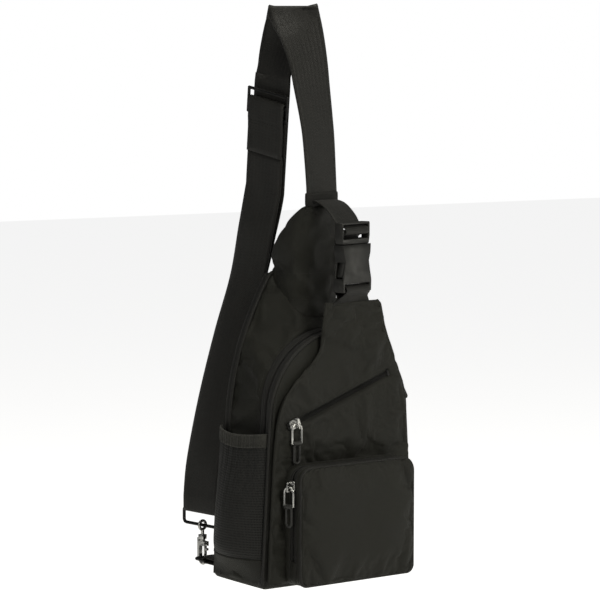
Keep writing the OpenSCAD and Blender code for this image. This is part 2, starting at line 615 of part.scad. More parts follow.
clasp_at = [ring_at[0], ring_at[1], ring_at[2] - ring_drop];
module at_clasp() translate(clasp_at) children();
eye_r = 4.2;
eye_wire = 1.5;
post_r = 1.7;
post_low = -14;
collar_low = -13.5;
collar_h = 4;
collar_r = 4.2;
head_r = 2.7;
head_h = 1.4;
// Swivel eye: a ring round the strap ring's lower bar, with a headed post under it
module clasp_eye() color(metal) at_clasp() {
    rotate([0, 90, strap_yaw]) rotate_extrude($fn = 40)
        translate([eye_r, 0]) circle(r = eye_wire, $fn = 20);
    translate([0, 0, post_low]) cylinder(h = -post_low - eye_r, r = post_r, $fn = 32);
    translate([0, 0, collar_low - gap - head_h]) cylinder(h = head_h, r = head_r, $fn = 32);
}
hook_r = 4.8;
hook_wire = 1.7;
hook_z = -33;
arm_top = collar_low - 2 * gap - head_h;
pivot_z = arm_top - 2.2;
tip_z = hook_z + 3;
pin_r = 0.8;
gate_half = 1.2;
ear_out = 2.7;
// Hook: a collar that turns on the post, a spine at the back, a round hook and two ears for the gate
module clasp_hook() color(metal) at_clasp() {
    translate([0, 0, collar_low]) difference() {
        cylinder(h = collar_h, r = collar_r, $fn = 40);
        translate([0, 0, -1]) cylinder(h = collar_h + 2, r = post_r + 0.08, $fn = 40);
    }
    translate([-2, hook_r - 1.6, hook_z]) cube([4, 3.2, -hook_z + collar_low + 0.6]);
    translate([0, 0, hook_z]) rotate([0, 90, 0]) hook_foot();
    translate([0, -hook_r, hook_z]) cylinder(h = tip_z - hook_z, r = hook_wire, $fn = 24);
    difference() {
        translate([-ear_out, -hook_r - 2.2, pivot_z - 2.2]) cube([ear_out * 2, hook_r * 2 + 2.2, 4.4]);
        translate([-gate_half - gap, -hook_r - 3, pivot_z - 3]) cube([2 * (gate_half + gap), 5.6, 6]);
        translate([-5, -hook_r, pivot_z]) rotate([0, 90, 0]) cylinder(h = 10, r = pin_r, $fn = 24);
    }
}
// Half ring at the foot of the hook
module hook_foot() rotate([0, 0, -90]) rotate_extrude(angle = 180, $fn = 40)
    translate([hook_r, 0]) circle(r = hook_wire, $fn = 20);
module at_pivot() at_clasp() translate([0, -hook_r, pivot_z]) children();
gate_len = pivot_z - tip_z - gap;
// Gate that closes the hook, with its thumb lever
module clasp_gate() color(metal) at_pivot() difference() {
    union() {
        translate([-gate_half, 0, 0]) rotate([0, 90, 0]) cylinder(h = gate_half, r = 1.9, $fn = 32);
        translate([-gate_half, -1.2, -4]) cube([gate_half, 2.4, 4]);
        translate([-gate_half, -1.2, -gate_len]) cube([gate_half * 2, 2.4, gate_len - 2.2]);
        translate([-gate_half, -4.2, -6.4]) cube([gate_half * 2, 3.4, 2.2]);
    }
    translate([-5, 0, 0]) rotate([0, 90, 0]) cylinder(h = 10, r = pin_r + 0.05, $fn = 24);
}
module gate_pin() color(metal) at_pivot() translate([-ear_out, 0, 0]) rotate([0, 90, 0])
    cylinder(h = ear_out * 2, r = pin_r, $fn = 24);
module gate_spring() color(metal) at_pivot() translate([0.15, 0, 0]) rotate([0, 90, 0]) difference() {
    cylinder(h = gate_half - 0.2, r = 1.6, $fn = 24);
    translate([0, 0, -1]) cylinder(h = gate_half + 2, r = pin_r + 0.02, $fn = 24);
}

corner_z = 11;
corner_near = 55.5;
corner_x = -79;
corner_half = 11.5;
corner_r = 1.5;
corner_bend = 4;
module corner_ring() color(metal) translate([corner_x, 0, corner_z]) {
    far = ring_at[1];
    translate([-corner_half, corner_near, 0]) rotate([0, 90, 0])
        cylinder(h = 2 * corner_half, r = corner_r, $fn = 24);
    translate([-corner_half + corner_bend, far, 0]) rotate([0, 90, 0])
        cylinder(h = 2 * (corner_half - corner_bend), r = corner_r, $fn = 24);
    for (side = [-1, 1]) {
        translate([side * corner_half, corner_near, 0]) {
            sphere(r = corner_r, $fn = 24);
            rotate([-90, 0, 0]) cylinder(h = far - corner_bend - corner_near, r = corner_r, $fn = 24);
        }
        translate([side * (corner_half - corner_bend), far - corner_bend, 0]) rotate([0, 0, side > 0 ? 0 : 90])
            rotate_extrude(angle = 90, $fn = 40) translate([corner_bend, 0]) circle(r = corner_r, $fn = 20);
    }
}
tab_w = 18;
tab_in = corner_r + 0.4;
// Webbing tab folded round the corner ring's straight bar
module corner_tab() color(web_black) translate([corner_x - tab_w / 2, corner_near, corner_z])
    rotate([90, 0, 90]) linear_extrude(tab_w) {
        for (side = [-1, 1]) translate([back_y + 0.1 - corner_near, side * (tab_in + web_t / 2) - web_t / 2])
            square([corner_near - back_y - 0.1, web_t]);
        difference() {
            circle(r = tab_in + web_t, $fn = 32);
            circle(r = tab_in, $fn = 32);
            translate([-20, -20]) square([20, 40]);
        }
    }

base_panel();
back_cover();
back_foam();
back_lining();
rear_gusset();
main_lining();
main_zip_tape();
main_zip_coil();
main_slider();
main_pull_link();
main_pull_loop();
front_panel();
front_piping();
rear_piping();
front_overlay();
diagonal_zip_tape();
diagonal_zip_coil();
diagonal_zip_stops();
diagonal_slider();
diagonal_pull_link();
diagonal_pull_loop();
pocket_gusset();
pocket_zip_tape();
pocket_zip_coil();
pocket_rim();
pocket_face();
pocket_piping();
left_slider();
left_pull_link();
left_pull_loop();
right_slider();
right_pull_link();
right_pull_loop();
left_mesh();
left_mesh_band();
left_mesh_base();
right_mesh();
right_mesh_band();
right_mesh_base();
yoke();
strap_anchor();
yoke_webbing();
buckle_male();
buckle_prong_left();
buckle_prong_right();
buckle_female();
overlay_webbing();
shoulder_strap();
strap_end_loop();
tri_glide();
strap_ring();
clasp_eye();
clasp_hook();
clasp_gate();
gate_pin();
gate_spring();
corner_ring();
corner_tab();
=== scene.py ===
"""Looks of a hanging sling bag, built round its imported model. Sizes are in millimetres, meshes in metres."""
import json
from math import copysign, cos, exp, hypot, pi, radians, sin, sqrt

import bmesh
import bpy
import numpy as np
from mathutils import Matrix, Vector, noise

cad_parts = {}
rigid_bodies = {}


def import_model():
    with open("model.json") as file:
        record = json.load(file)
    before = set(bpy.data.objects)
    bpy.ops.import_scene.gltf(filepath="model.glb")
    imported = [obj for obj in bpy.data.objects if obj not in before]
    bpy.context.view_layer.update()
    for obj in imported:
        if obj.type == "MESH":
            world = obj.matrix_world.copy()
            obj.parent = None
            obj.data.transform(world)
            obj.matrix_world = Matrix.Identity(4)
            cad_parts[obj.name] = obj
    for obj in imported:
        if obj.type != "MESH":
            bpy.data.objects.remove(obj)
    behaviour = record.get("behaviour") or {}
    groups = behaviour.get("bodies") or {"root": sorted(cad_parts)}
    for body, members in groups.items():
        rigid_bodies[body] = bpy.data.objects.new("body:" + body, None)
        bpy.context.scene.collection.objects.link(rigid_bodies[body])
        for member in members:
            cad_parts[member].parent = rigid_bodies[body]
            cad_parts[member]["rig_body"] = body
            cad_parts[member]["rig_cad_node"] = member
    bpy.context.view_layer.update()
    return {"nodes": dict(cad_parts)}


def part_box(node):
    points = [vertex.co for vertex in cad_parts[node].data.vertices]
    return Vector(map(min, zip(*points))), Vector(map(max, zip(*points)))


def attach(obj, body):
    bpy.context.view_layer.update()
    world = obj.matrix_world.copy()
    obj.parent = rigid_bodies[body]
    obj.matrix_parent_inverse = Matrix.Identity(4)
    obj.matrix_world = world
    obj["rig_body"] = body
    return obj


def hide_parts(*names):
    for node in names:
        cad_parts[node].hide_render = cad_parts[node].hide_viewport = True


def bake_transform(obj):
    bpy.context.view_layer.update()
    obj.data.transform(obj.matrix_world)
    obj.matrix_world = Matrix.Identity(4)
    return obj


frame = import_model()
MM = 0.001
WORLD_LIGHT = 0.21
WORLD_SHINE = 0.1
FLOOR_Z = -260


# ---------- driving sizes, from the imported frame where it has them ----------
def box_mm(node):
    low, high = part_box(node)
    return [c / MM for c in low], [c / MM for c in high]


base_low, base_high = box_mm("base_panel")
gusset_low, gusset_high = box_mm("rear_gusset")
pocket_low_box, pocket_high_box = box_mm("pocket_face")
band_low, band_high = box_mm("right_mesh_band")

base_w = base_high[0] - base_low[0]
front_y = base_low[1]
back_y = base_high[1]
rear_y = gusset_high[1]
zip_y = gusset_low[1]
top_w = 60
waist_w = 154
top_z = gusset_high[2] - 3
waist_z = 141
base_t = 2
front_r = 79
front_z = 158
zip_r = 74
zip_z = 165
cloth = 1.6
coil_y = (front_y + zip_y) / 2
coil_w = 4
leg_share = 0.45
shoulder_share = 0.9


# ---------- curves and outlines, the same as the design's ----------
def lerp(a, b, t):
    return a + (b - a) * t


def smoothstep(a, b, x):
    t = min(max((x - a) / (b - a), 0), 1)
    return t * t * (3 - 2 * t)


def unit(v):
    return v / max(np.linalg.norm(v), 1e-9)


def blunt(value, power):
    """A sine or cosine raised to a power with its sign kept, which squares off a round outline."""
    return copysign(abs(value) ** power, value)


def bezier(p, t):
    p = np.array(p, float)
    return (p[0] * (1 - t) ** 3 + p[1] * 3 * t * (1 - t) ** 2
            + p[2] * 3 * t * t * (1 - t) + p[3] * t ** 3)


def smooth(points, n):
    """Catmull-Rom curve through given rows, with n steps between neighbours."""
    p = [np.array(q, float) for q in points]
    made = []
    for i in range(len(p) - 1):
        a, b, c, d = p[max(i - 1, 0)], p[i], p[i + 1], p[min(i + 2, len(p) - 1)]
        for k in range(n):
            t = k / n
            made.append(0.5 * (2 * b + (c - a) * t + (2 * a - 5 * b + 4 * c - d) * t * t
                               + (3 * b - a - 3 * c + d) * t ** 3))
    return made + [p[-1]]


def rear_half_w(z):
    if z < waist_z:
        return lerp(base_w / 2, waist_w / 2, z / waist_z)
    return waist_w / 2 - (waist_w - top_w) / 2 * ((z - waist_z) / (top_z - waist_z)) ** 2


def rear_half(t):
    if t < leg_share:
        z = lerp(base_t, waist_z, t / leg_share)
        return rear_half_w(z), z
    if t < shoulder_share:
        z = lerp(waist_z, top_z, (t - leg_share) / (shoulder_share - leg_share))
        return rear_half_w(z), z
    u = (t - shoulder_share) / (1 - shoulder_share)
    return lerp(top_w / 2, 0, u), top_z + 3 * sin(pi / 2 * u)


def arch_half(t, r, z):
    if t < leg_share:
        return lerp(base_w / 2, r, t / leg_share), lerp(base_t, z, t / leg_share)
    a = pi / 2 * (t - leg_share) / (1 - leg_share)
    return r * cos(a), z + r * sin(a)


def zip_half(t):
    return arch_half(t, zip_r, zip_z)


def front_half(t):
    return arch_half(t, front_r, front_z)


def over_the_top(half, s):
    """Point of an outline for s from 0, the right foot, over the crown at 1 to the left foot at 2."""
    x, z = half(s if s <= 1 else 2 - s)
    return (x, z) if s <= 1 else (-x, z)


def outline_point(half, s):
    """Point of an outline and the direction that leads out of it, both in x and z."""
    ahead = unit(np.array(over_the_top(half, min(s + 0.01, 2))) - over_the_top(half, max(s - 0.01, 0)))
    return np.array(over_the_top(half, s)), np.array([ahead[1], -ahead[0]])


def body_half_w(z, y):
    front = lerp(base_w / 2, front_r, z / front_z)
    middle = lerp(base_w / 2, zip_r, z / zip_z)
    if y > rear_y:
        return rear_half_w(z)
    if y > zip_y:
        return lerp(middle, rear_half_w(z), (y - zip_y) / (rear_y - zip_y))
    return lerp(front, middle, (y - front_y) / (zip_y - front_y))


# ---------- materials ----------
class Shader:
    """A node tree with a Principled shader, built one call at a time."""

    def __init__(self, name, colour, rough, metal=0.0, **sockets):
        self.mat = bpy.data.materials.new(name)
        self.mat.use_nodes = True
        self.mat.diffuse_color = (*colour, 1)
        self.tree = self.mat.node_tree
        self.bsdf = self.tree.nodes["Principled BSDF"]
        self.colour = colour
        self.set(self.bsdf, "Base Color", (*colour, 1))
        self.set(self.bsdf, "Roughness", rough)
        self.set(self.bsdf, "Metallic", metal)
        for key, value in sockets.items():
            self.set(self.bsdf, key.replace("_", " "), value)
        self.normal = None

    def set(self, node, key, value):
        socket = node.inputs[key]
        if isinstance(value, bpy.types.NodeSocket):
            self.tree.links.new(value, socket)
        else:
            socket.default_value = value

    def node(self, kind, out=0, inputs=None, **settings):
        made = self.tree.nodes.new(kind)
        for key, value in settings.items():
            setattr(made, key, value)
        for key, value in (inputs or {}).items():
            self.set(made, key, value)
        return made.outputs[out]

    def math(self, operation, a, b=0.0):
        return self.node("ShaderNodeMath", inputs={0: a, 1: b}, operation=operation)

    def noise(self, scale, detail=3.0, rough=0.5, stretch=None):
        place = self.node("ShaderNodeTexCoord", out="Object")
        if stretch:
            place = self.node("ShaderNodeMapping", inputs={"Vector": place, "Scale": stretch})
        return self.node("ShaderNodeTexNoise", out="Fac", inputs={
            "Vector": place, "Scale": scale, "Detail": detail, "Roughness": rough})

    def grain(self):
        """Millimetres across and along the piece, as its maker wrote them."""
        vector = self.node("ShaderNodeAttribute", out="Vector", attribute_name="grain")
        split = self.tree.nodes.new("ShaderNodeSeparateXYZ")
        self.tree.links.new(vector, split.inputs[0])
        return split.outputs[0], split.outputs[1]

    def times(self, a, b):
        return self.math("MULTIPLY", a, b)

    def wave(self, along, pitch):
        return self.math("SINE", self.times(along, 2 * pi / pitch))

    def ramp(self, value, low, high, a, b):
        return self.node("ShaderNodeMapRange", inputs={
            "Value": value, "From Min": low, "From Max": high, "To Min": a, "To Max": b})

    def bump(self, height, distance, strength=1.0):
        inputs = {"Height": height, "Distance": distance, "Strength": strength}
        if self.normal:
            inputs["Normal"] = self.normal
        self.normal = self.node("ShaderNodeBump", out="Normal", inputs=inputs)
        self.set(self.bsdf, "Normal", self.normal)

    def tint(self, value, low, high):
        """Base colour from low times to high times the plain one, by a value from 0 to 1."""
        mixed = self.node("ShaderNodeMix", out=2, data_type="RGBA", inputs={
            0: value,
            6: (*[c * low for c in self.colour], 1),
            7: (*[min(c * high, 1) for c in self.colour], 1)})
        self.set(self.bsdf, "Base Color", mixed)


def cloth_material(name, colour, rough, pitch, weave=0.06, crease=0.5, sheen=0.045):
    s = Shader(name, colour, rough, Sheen_Weight=sheen, Sheen_Roughness=0.4, Specular_IOR_Level=0.28)
    across, along = s.grain()
    basket = s.times(s.wave(across, pitch), s.wave(along, pitch))
    cloudy = s.noise(28, 4)
    fine = s.noise(700, 2)
    s.tint(s.ramp(s.math("ADD", cloudy, s.times(fine, 0.35)), 0.35, 1.0, 0, 1), 0.75, 1.45)
    s.set(s.bsdf, "Roughness", s.ramp(cloudy, 0.3, 0.7, rough - 0.06, rough + 0.08))
    s.bump(s.noise(45, 3, 0.55), crease * MM)
    s.bump(basket, weave * MM, 0.8)
    return s.mat


def webbing_material(name, colour, rough=0.5):
    s = Shader(name, colour, rough, Sheen_Weight=0.05, Sheen_Roughness=0.4, Specular_IOR_Level=0.32)
    across, along = s.grain()
    zigzag = s.times(s.math("ABSOLUTE", s.wave(across, 9.6)), 1.4)
    slant = s.wave(s.math("ADD", along, zigzag), 1.5)
    ribs = s.wave(across, 1.2)
    fine = s.noise(60, 4, 0.6, (1, 1, 0.15))
    s.tint(s.ramp(fine, 0.3, 0.75, 0, 1), 0.75, 1.4)
    s.bump(s.noise(25, 2), 0.4 * MM)
    s.bump(s.math("ADD", slant, s.times(ribs, 0.6)), 0.10 * MM, 0.9)
    return s.mat


def net_material(name, colour):
    s = Shader(name, colour, 0.6, Sheen_Weight=0.05, Sheen_Roughness=0.4, Specular_IOR_Level=0.3)
    across, along = s.grain()
    lean = s.times(along, 0.62)
    up = s.wave(s.math("ADD", across, lean), 3.0)
    down = s.wave(s.math("SUBTRACT", across, lean), 3.0)
    holes = s.ramp(s.times(up, down), 0.05, 0.5, 1, 0)
    # holes is 0 in the net's holes and 1 on its threads; the tint paints the holes near black, painted shade
    # for the shaded pocket seen through them.
    s.tint(holes, 0.12, 1.5)
    s.set(s.bsdf, "Roughness", s.ramp(holes, 0, 1, 0.85, 0.5))
    s.bump(s.noise(40, 3), 0.5 * MM)
    s.bump(holes, 0.5 * MM)
    return s.mat


def hard_material(name, colour, rough, metal=0.0, grain=0.02, scale=900, wear=1.5, **sockets):
    s = Shader(name, colour, rough, metal, **sockets)
    cloudy = s.noise(60, 4)
    s.set(s.bsdf, "Roughness", s.ramp(cloudy, 0.3, 0.7, rough * 0.8, rough * 1.3))
    s.tint(s.ramp(s.noise(220, 3), 0.35, 0.75, 0, 1), 0.85, wear)
    s.bump(s.noise(scale, 2), grain * MM)
    return s.mat


NYLON = cloth_material("shell_nylon", (0.0086, 0.0086, 0.0060), 0.58, 0.7)
NYLON_DARK = cloth_material("back_nylon", (0.0068, 0.0066, 0.0056), 0.66, 0.9, weave=0.09)
LINING = cloth_material("lining_cloth", (0.05, 0.05, 0.048), 0.7, 0.5)
BINDING = cloth_material("binding_cloth", (0.009, 0.0088, 0.0078), 0.5, 0.6, crease=0.2)
ZIP_TAPE = cloth_material("zip_tape_cloth", (0.009, 0.0088, 0.0078), 0.55, 1.0, weave=0.12, crease=0.1)
ELASTIC = cloth_material("elastic_band", (0.03, 0.0295, 0.025), 0.55, 1.1, weave=0.2, crease=0.5, sheen=0.1)
WEBBING = webbing_material("webbing", (0.0078, 0.0075, 0.0062))
NET = net_material("net", (0.0085, 0.0085, 0.0078))
FOAM = hard_material("foam", (0.09, 0.09, 0.085), 0.9, grain=0.4, scale=500)
COIL = hard_material("zip_coil", (0.008, 0.008, 0.0075), 0.4, Specular_IOR_Level=0.35)
THREAD = hard_material("thread", (0.014, 0.014, 0.012), 0.7)
NICKEL = hard_material("nickel", (0.55, 0.55, 0.54), 0.24, 1.0, grain=0.01, wear=1.15)
GUNMETAL = hard_material("gunmetal", (0.035, 0.035, 0.035), 0.42, 1.0, grain=0.015)
GRIP = hard_material("grip_rubber", (0.02, 0.02, 0.019), 0.5, grain=0.05, Specular_IOR_Level=0.4)
PLASTIC = hard_material("buckle_plastic", (0.007, 0.007, 0.0062), 0.42, grain=0.03, scale=1400,
                        Specular_IOR_Level=0.38)


# ---------- making pieces ----------
def link(name, verts, faces, material, smooth_shaded=True):
    mesh = bpy.data.meshes.new(name)
    mesh.from_pydata([tuple(c * MM for c in p) for p in verts], [], faces)
    mesh.update()
    obj = bpy.data.objects.new(name, mesh)
    bpy.context.scene.collection.objects.link(obj)
    mesh.materials.append(material)
    if smooth_shaded:
        mesh.shade_smooth()
    return obj


def write_grain(obj, coordinates):
    layer = obj.data.attributes.new("grain", "FLOAT_VECTOR", "POINT")
    layer.data.foreach_set("vector", np.array(coordinates, np.float32).ravel())


def settle(obj, body, slot_name, *nodes):
    """Puts a finished piece on its body, in place of CAD nodes, which it hides. slot_name is not used."""
    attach(obj, body)
    if nodes:
        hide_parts(*nodes)
    return obj


def sheet(name, rows, material, closed=False, wrap=False, flip=False):
    """Cloth through rows of points. closed joins each row's ends, and wrap the last row to the first."""
    rows = np.array(rows, float)
    n, m = rows.shape[:2]
    around = np.zeros((n, m))
    around[:, 1:] = np.cumsum(np.linalg.norm(np.diff(rows, axis=1), axis=2), axis=1)
    around -= around[:, -1:] / 2
    along = np.zeros((n, m))
    step = np.linalg.norm(np.diff(rows, axis=0), axis=2).mean(axis=1)
    along[1:] = np.cumsum(step)[:, None]
    faces = []
    for i in range(n if wrap else n - 1):
        for j in range(m if closed else m - 1):
            a, b = i * m + j, i * m + (j + 1) % m
            c, d = ((i + 1) % n) * m + (j + 1) % m, ((i + 1) % n) * m + j
            faces.append((a, d, c, b) if flip else (a, b, c, d))
    obj = link(name, rows.reshape(-1, 3), faces, material)
    grain = np.stack([around, along, np.zeros((n, m))], axis=2)
    write_grain(obj, grain.reshape(-1, 3))
    return obj


def add_thickness(obj, thickness, offset=-1.0):
    made = obj.modifiers.new("thickness", "SOLIDIFY")
    made.thickness = thickness * MM
    made.offset = offset
    made.use_even_offset = False
    return obj


def add_subdivision(obj, levels=1):
    made = obj.modifiers.new("subdivision", "SUBSURF")
    made.levels = levels
    made.render_levels = levels
    return obj


def tube(name, points, radius, material, sides=8, closed=False):
    """Round tube along points, whose rings are carried along with no twist."""
    p = [np.array(q, float) for q in points]
    n = len(p)
    rows = []
    side = None
    for i in range(n):
        a = p[(i - 1) % n] if closed else p[max(i - 1, 0)]
        b = p[(i + 1) % n] if closed else p[min(i + 1, n - 1)]
        ahead = unit(b - a)
        if side is None:
            side = unit(np.cross(ahead, [0.31, 0.87, 0.39]))
        side = unit(side - ahead * np.dot(side, ahead))
        up = np.cross(ahead, side)
        rows.append([p[i] + radius * (side * cos(t) + up * sin(t))
                     for t in np.linspace(0, 2 * pi, sides, endpoint=False)])
    return sheet(name, rows, material, closed=True, wrap=closed)


def join(name, parts):
    """Several made pieces as one object."""
    first = parts[0]
    with bpy.context.temp_override(active_object=first, selected_editable_objects=parts):
        bpy.ops.object.join()
    first.name = name
    return first


def resample(points, pitch):
    """Points evenly spaced along a line, with the line's direction at each."""
    p = np.array(points, float)
    lengths = np.linalg.norm(np.diff(p, axis=0), axis=1)
    total = np.concatenate([[0], np.cumsum(lengths)])
    count = max(int(total[-1] / pitch), 1)
    at = np.linspace(0, total[-1], count + 1)
    where = np.stack([np.interp(at, total, p[:, k]) for k in range(3)], axis=1)
    ahead = np.gradient(where, axis=0)
    return where, ahead / np.linalg.norm(ahead, axis=1)[:, None]


def outward_at(outward, q):
    """A surface's outside at q, from a direction or from a function of the place."""
    return unit(np.array(outward(q) if callable(outward) else outward, float))


def bar_sides(first, sides, rings):
    """Faces along a bar whose rings of points follow one another from the first."""
    faces = []
    for ring in range(rings - 1):
        for k in range(sides):
            a, b = first + ring * sides + k, first + ring * sides + (k + 1) % sides
            faces.append((a, b, b + sides, a + sides))
    return faces


def stitches(name, points, outward, pitch=3.2, length=2.1, radius=0.24):
    """A row of sewn stitches that lies on a surface."""
    where, ahead = resample(points, pitch)
    verts, faces = [], []
    for q, t in zip(where, ahead):
        out = outward_at(outward, q)
        side = unit(np.cross(t, out))
        for end, r in ((-0.5, 0.25), (-0.3, 1.0), (0.3, 1.0), (0.5, 0.25)):
            for k in range(6):
                a = k * pi / 3
                verts.append(q + t * length * end + radius * (side * cos(a) * r + out * sin(a) * r))
        first = len(verts) - 24
        faces += bar_sides(first, 6, 4)
        faces.append(tuple(first + k for k in reversed(range(6))))
        faces.append(tuple(first + 18 + k for k in range(6)))
    return link(name, verts, faces, THREAD)


def coil(name, points, outward, width, pitch=1.5, height=0.9):
    """Zip teeth: two rows of rounded bars that interlock along a line."""
    where, ahead = resample(points, pitch / 2)
    verts, faces = [], []
    for i, (q, t) in enumerate(zip(where, ahead)):
        out = outward_at(outward, q)
        side = unit(np.cross(t, out)) * (1 if i % 2 else -1)
        first = len(verts)
        for reach, half, up in ((-0.12, 0.34, 0.75), (0.3, 0.3, 1.0), (0.5, 0.24, 0.55)):
            for along, rise in ((-1, 0), (1, 0), (0.6, up), (-0.6, up)):
                verts.append(q + side * width * reach + t * along * half + out * rise * height)
        faces += bar_sides(first, 4, 3)
        faces.append((first + 3, first + 2, first + 1, first))
        faces.append((first + 8, first + 9, first + 10, first + 11))
    return link(name, verts, faces, COIL)


def hard_copy(node, body, slot_name, material, bevel=0.5, angle=35):
    """A CAD node with softened edges and its real finish."""
    source = frame["nodes"][node]
    obj = source.copy()
    obj.data = source.data.copy()
    obj.name = node + "_finished"
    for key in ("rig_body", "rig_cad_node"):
        if key in obj:
            del obj[key]
    obj.parent = None
    bpy.context.scene.collection.objects.link(obj)
    obj.data.materials.clear()
    obj.data.materials.append(material)
    weld = obj.modifiers.new("weld", "WELD")
    weld.merge_threshold = 0.01 * MM
    soft = obj.modifiers.new("soft_edges", "BEVEL")
    soft.width = bevel * MM
    soft.segments = 2
    soft.limit_method = "ANGLE"
    soft.angle_limit = radians(angle)
    obj.data.shade_smooth()
    return settle(obj, body, slot_name, node)


# ---------- cloth simulation ----------
RELAXING = []


def let_relax(obj, held, grow, cap, pressure=0.0, bending=0.25, rough=0.35):
    """Marks a grid of cloth for the simulation, with each point's hold, 1 at a seam, and its spare cloth."""
    mesh = obj.data
    place = np.array([v.co for v in mesh.vertices])
    for i, vertex in enumerate(mesh.vertices):
        loose = 1 - held[i]
        lift = noise.noise(Vector(place[i] * 38.0)) + 0.5 * noise.noise(Vector(place[i] * 90.0))
        vertex.co = vertex.co + vertex.normal * lift * rough * loose * MM
    group = obj.vertex_groups.new(name="held")
    for i, hold in enumerate(held):
        if hold > 0:
            group.add([i], float(hold), "REPLACE")
    RELAXING.append((obj, place, held, grow, cap, pressure, bending))


def relax_all(frames=20):
    scene = bpy.context.scene
    for obj, _, _, grow, _, pressure, bending in RELAXING:
        made = obj.modifiers.new("cloth", "CLOTH")
        settings = made.settings
        settings.quality = 6
        settings.mass = 0.15
        settings.tension_stiffness = 18
        settings.compression_stiffness = 18
        settings.shear_stiffness = 6
        settings.bending_stiffness = bending
        settings.air_damping = 4
        settings.vertex_group_mass = "held"
        settings.shrink_min = -grow
        settings.effector_weights.gravity = 0
        made.collision_settings.use_collision = False
        made.collision_settings.use_self_collision = False
        if pressure:
            settings.use_pressure = True
            settings.uniform_pressure_force = pressure
    for number in range(1, frames + 1):
        scene.frame_set(number)
    graph = bpy.context.evaluated_depsgraph_get()
    for obj, place, _, _, cap, _, _ in RELAXING:
        moved = obj.evaluated_get(graph).to_mesh()
        after = np.array([v.co for v in moved.vertices])
        travel = after - place
        length = np.linalg.norm(travel, axis=1)
        keep = np.where(length > 0, np.tanh(length / (cap * MM)) * cap * MM / np.maximum(length, 1e-9), 1)
        final = place + travel * keep[:, None]
        obj.data.vertices.foreach_set("co", final.astype(np.float32).ravel())
        obj.data.update()
        obj.evaluated_get(graph).to_mesh_clear()
    for obj, *_ in RELAXING:
        obj.modifiers.remove(obj.modifiers["cloth"])
        obj.vertex_groups.clear()
    scene.frame_set(1)


def grid_hold(n, m, soft=3):
    """Hold of each point of a grid: 1 on its border, fading over the next few points."""
    hold = []
    for i in range(n):
        for j in range(m):
            near = min(i, n - 1 - i, j, m - 1 - j)
            hold.append(1 if near == 0 else max(0, 0.25 * (1 - near / soft)))
    return hold


# ---------- shoulder strap ----------
strap_w = 48
web_t = 1.6
edge_yaw = 14
stitched_from, stitched_to = 20, 178
strap_yaw = -82
run_top = np.array([-31, 20, 480.0])
run_low = np.array([-22, 43, 373.0])
run_dir = unit(run_low - run_top)
fold_at = np.array([-14, 10, 544.0])
fold_yaw = -36
fold_r = 3.5
ring_at = np.array([-81.5, 68.5, 58.0])
ring_turn_r = 2.9
layer_gap = 4.5


def flat_way(yaw):
    return np.array([cos(radians(yaw)), sin(radians(yaw)), 0])


def out_way(yaw):
    return np.array([sin(radians(yaw)), -cos(radians(yaw)), 0])


leg_out = out_way(strap_yaw)


def strap_route(n):
    """Rows of x, y, z and the yaw of the width, from the yoke over the top fold and round the strap ring."""
    right_leg = smooth([
        [0.5, -17, 358.2, 17], [0.3, -16.3, 378, 18], [-1.2, -14.2, 419, 16], [-3, -12.5, 442, 14],
        [-6.7, -10, 473, 9], [-9.5, -8.5, 495, 5], [-13.5, -4.5, 518, -6], [-15.5, 2.5, 534, -24]], n)
    top = [[*(fold_at + out_way(fold_yaw) * fold_r * cos(a) + [0, 0, fold_r * sin(a)]), fold_yaw]
           for a in np.linspace(0, pi, 9)]
    left_leg = smooth([
        [-13, 16.5, 531, -46], [-20.5, 20.5, 510, -68], [-27, 20, 493, -80], [*run_top, strap_yaw]], n)
    back_leg = smooth([
        [*run_low, strap_yaw], [-19.5, 59, 335, strap_yaw], [-22, 73, 285, strap_yaw],
        [-38, 77, 229, strap_yaw], [-57, 75.5, 166, strap_yaw], [-72.5, 72, 105, strap_yaw],
        [*(ring_at - leg_out * ring_turn_r + [0, 0, 12]), strap_yaw]], n)
    low = [[*(ring_at - leg_out * ring_turn_r * cos(a) - [0, 0, ring_turn_r * sin(a)]), strap_yaw]
           for a in np.linspace(0, pi, 9)]
    front_end = run_top + run_dir * 74.5 + leg_out * layer_gap
    front_leg = smooth([
        [*(ring_at + leg_out * ring_turn_r + [0, 0, 12]), strap_yaw], [-79, 70, 105, strap_yaw],
        [-64, 71, 166, strap_yaw], [-45, 71, 229, strap_yaw], [-29, 66, 285, strap_yaw],
        [-26.5, 54, 335, strap_yaw], [*(run_low + leg_out * layer_gap), strap_yaw]], n)
    front_top = [[*p, strap_yaw] for p in np.linspace(run_low + leg_out * layer_gap, front_end, 6)[1:]]
    run = [[*p, strap_yaw] for p in np.linspace(run_top, run_low, 14)[1:-1]]
    stretches = (right_leg, top, left_leg, run, back_leg, low, front_leg, front_top)
    return [np.array(r, float) for stretch in stretches for r in stretch]


def web_rows(rows, width, columns=11, crown=None):
    """Rows of points across webbing. crown lifts the middle, by a function of the row's share of the way."""
    p = np.array([r[:3] for r in rows])
    made = []
    for i, r in enumerate(rows):
        ahead = unit(p[min(i + 1, len(p) - 1)] - p[max(i - 1, 0)])
        out = unit(np.cross(ahead, flat_way(r[3])))
        side = unit(np.cross(out, ahead))
        lift = crown(i / (len(rows) - 1)) if crown else 0
        made.append([p[i] + side * width * q + out * lift * (1 - (2 * q) ** 2)
                     for q in np.linspace(0.5, -0.5, columns)])
    return made


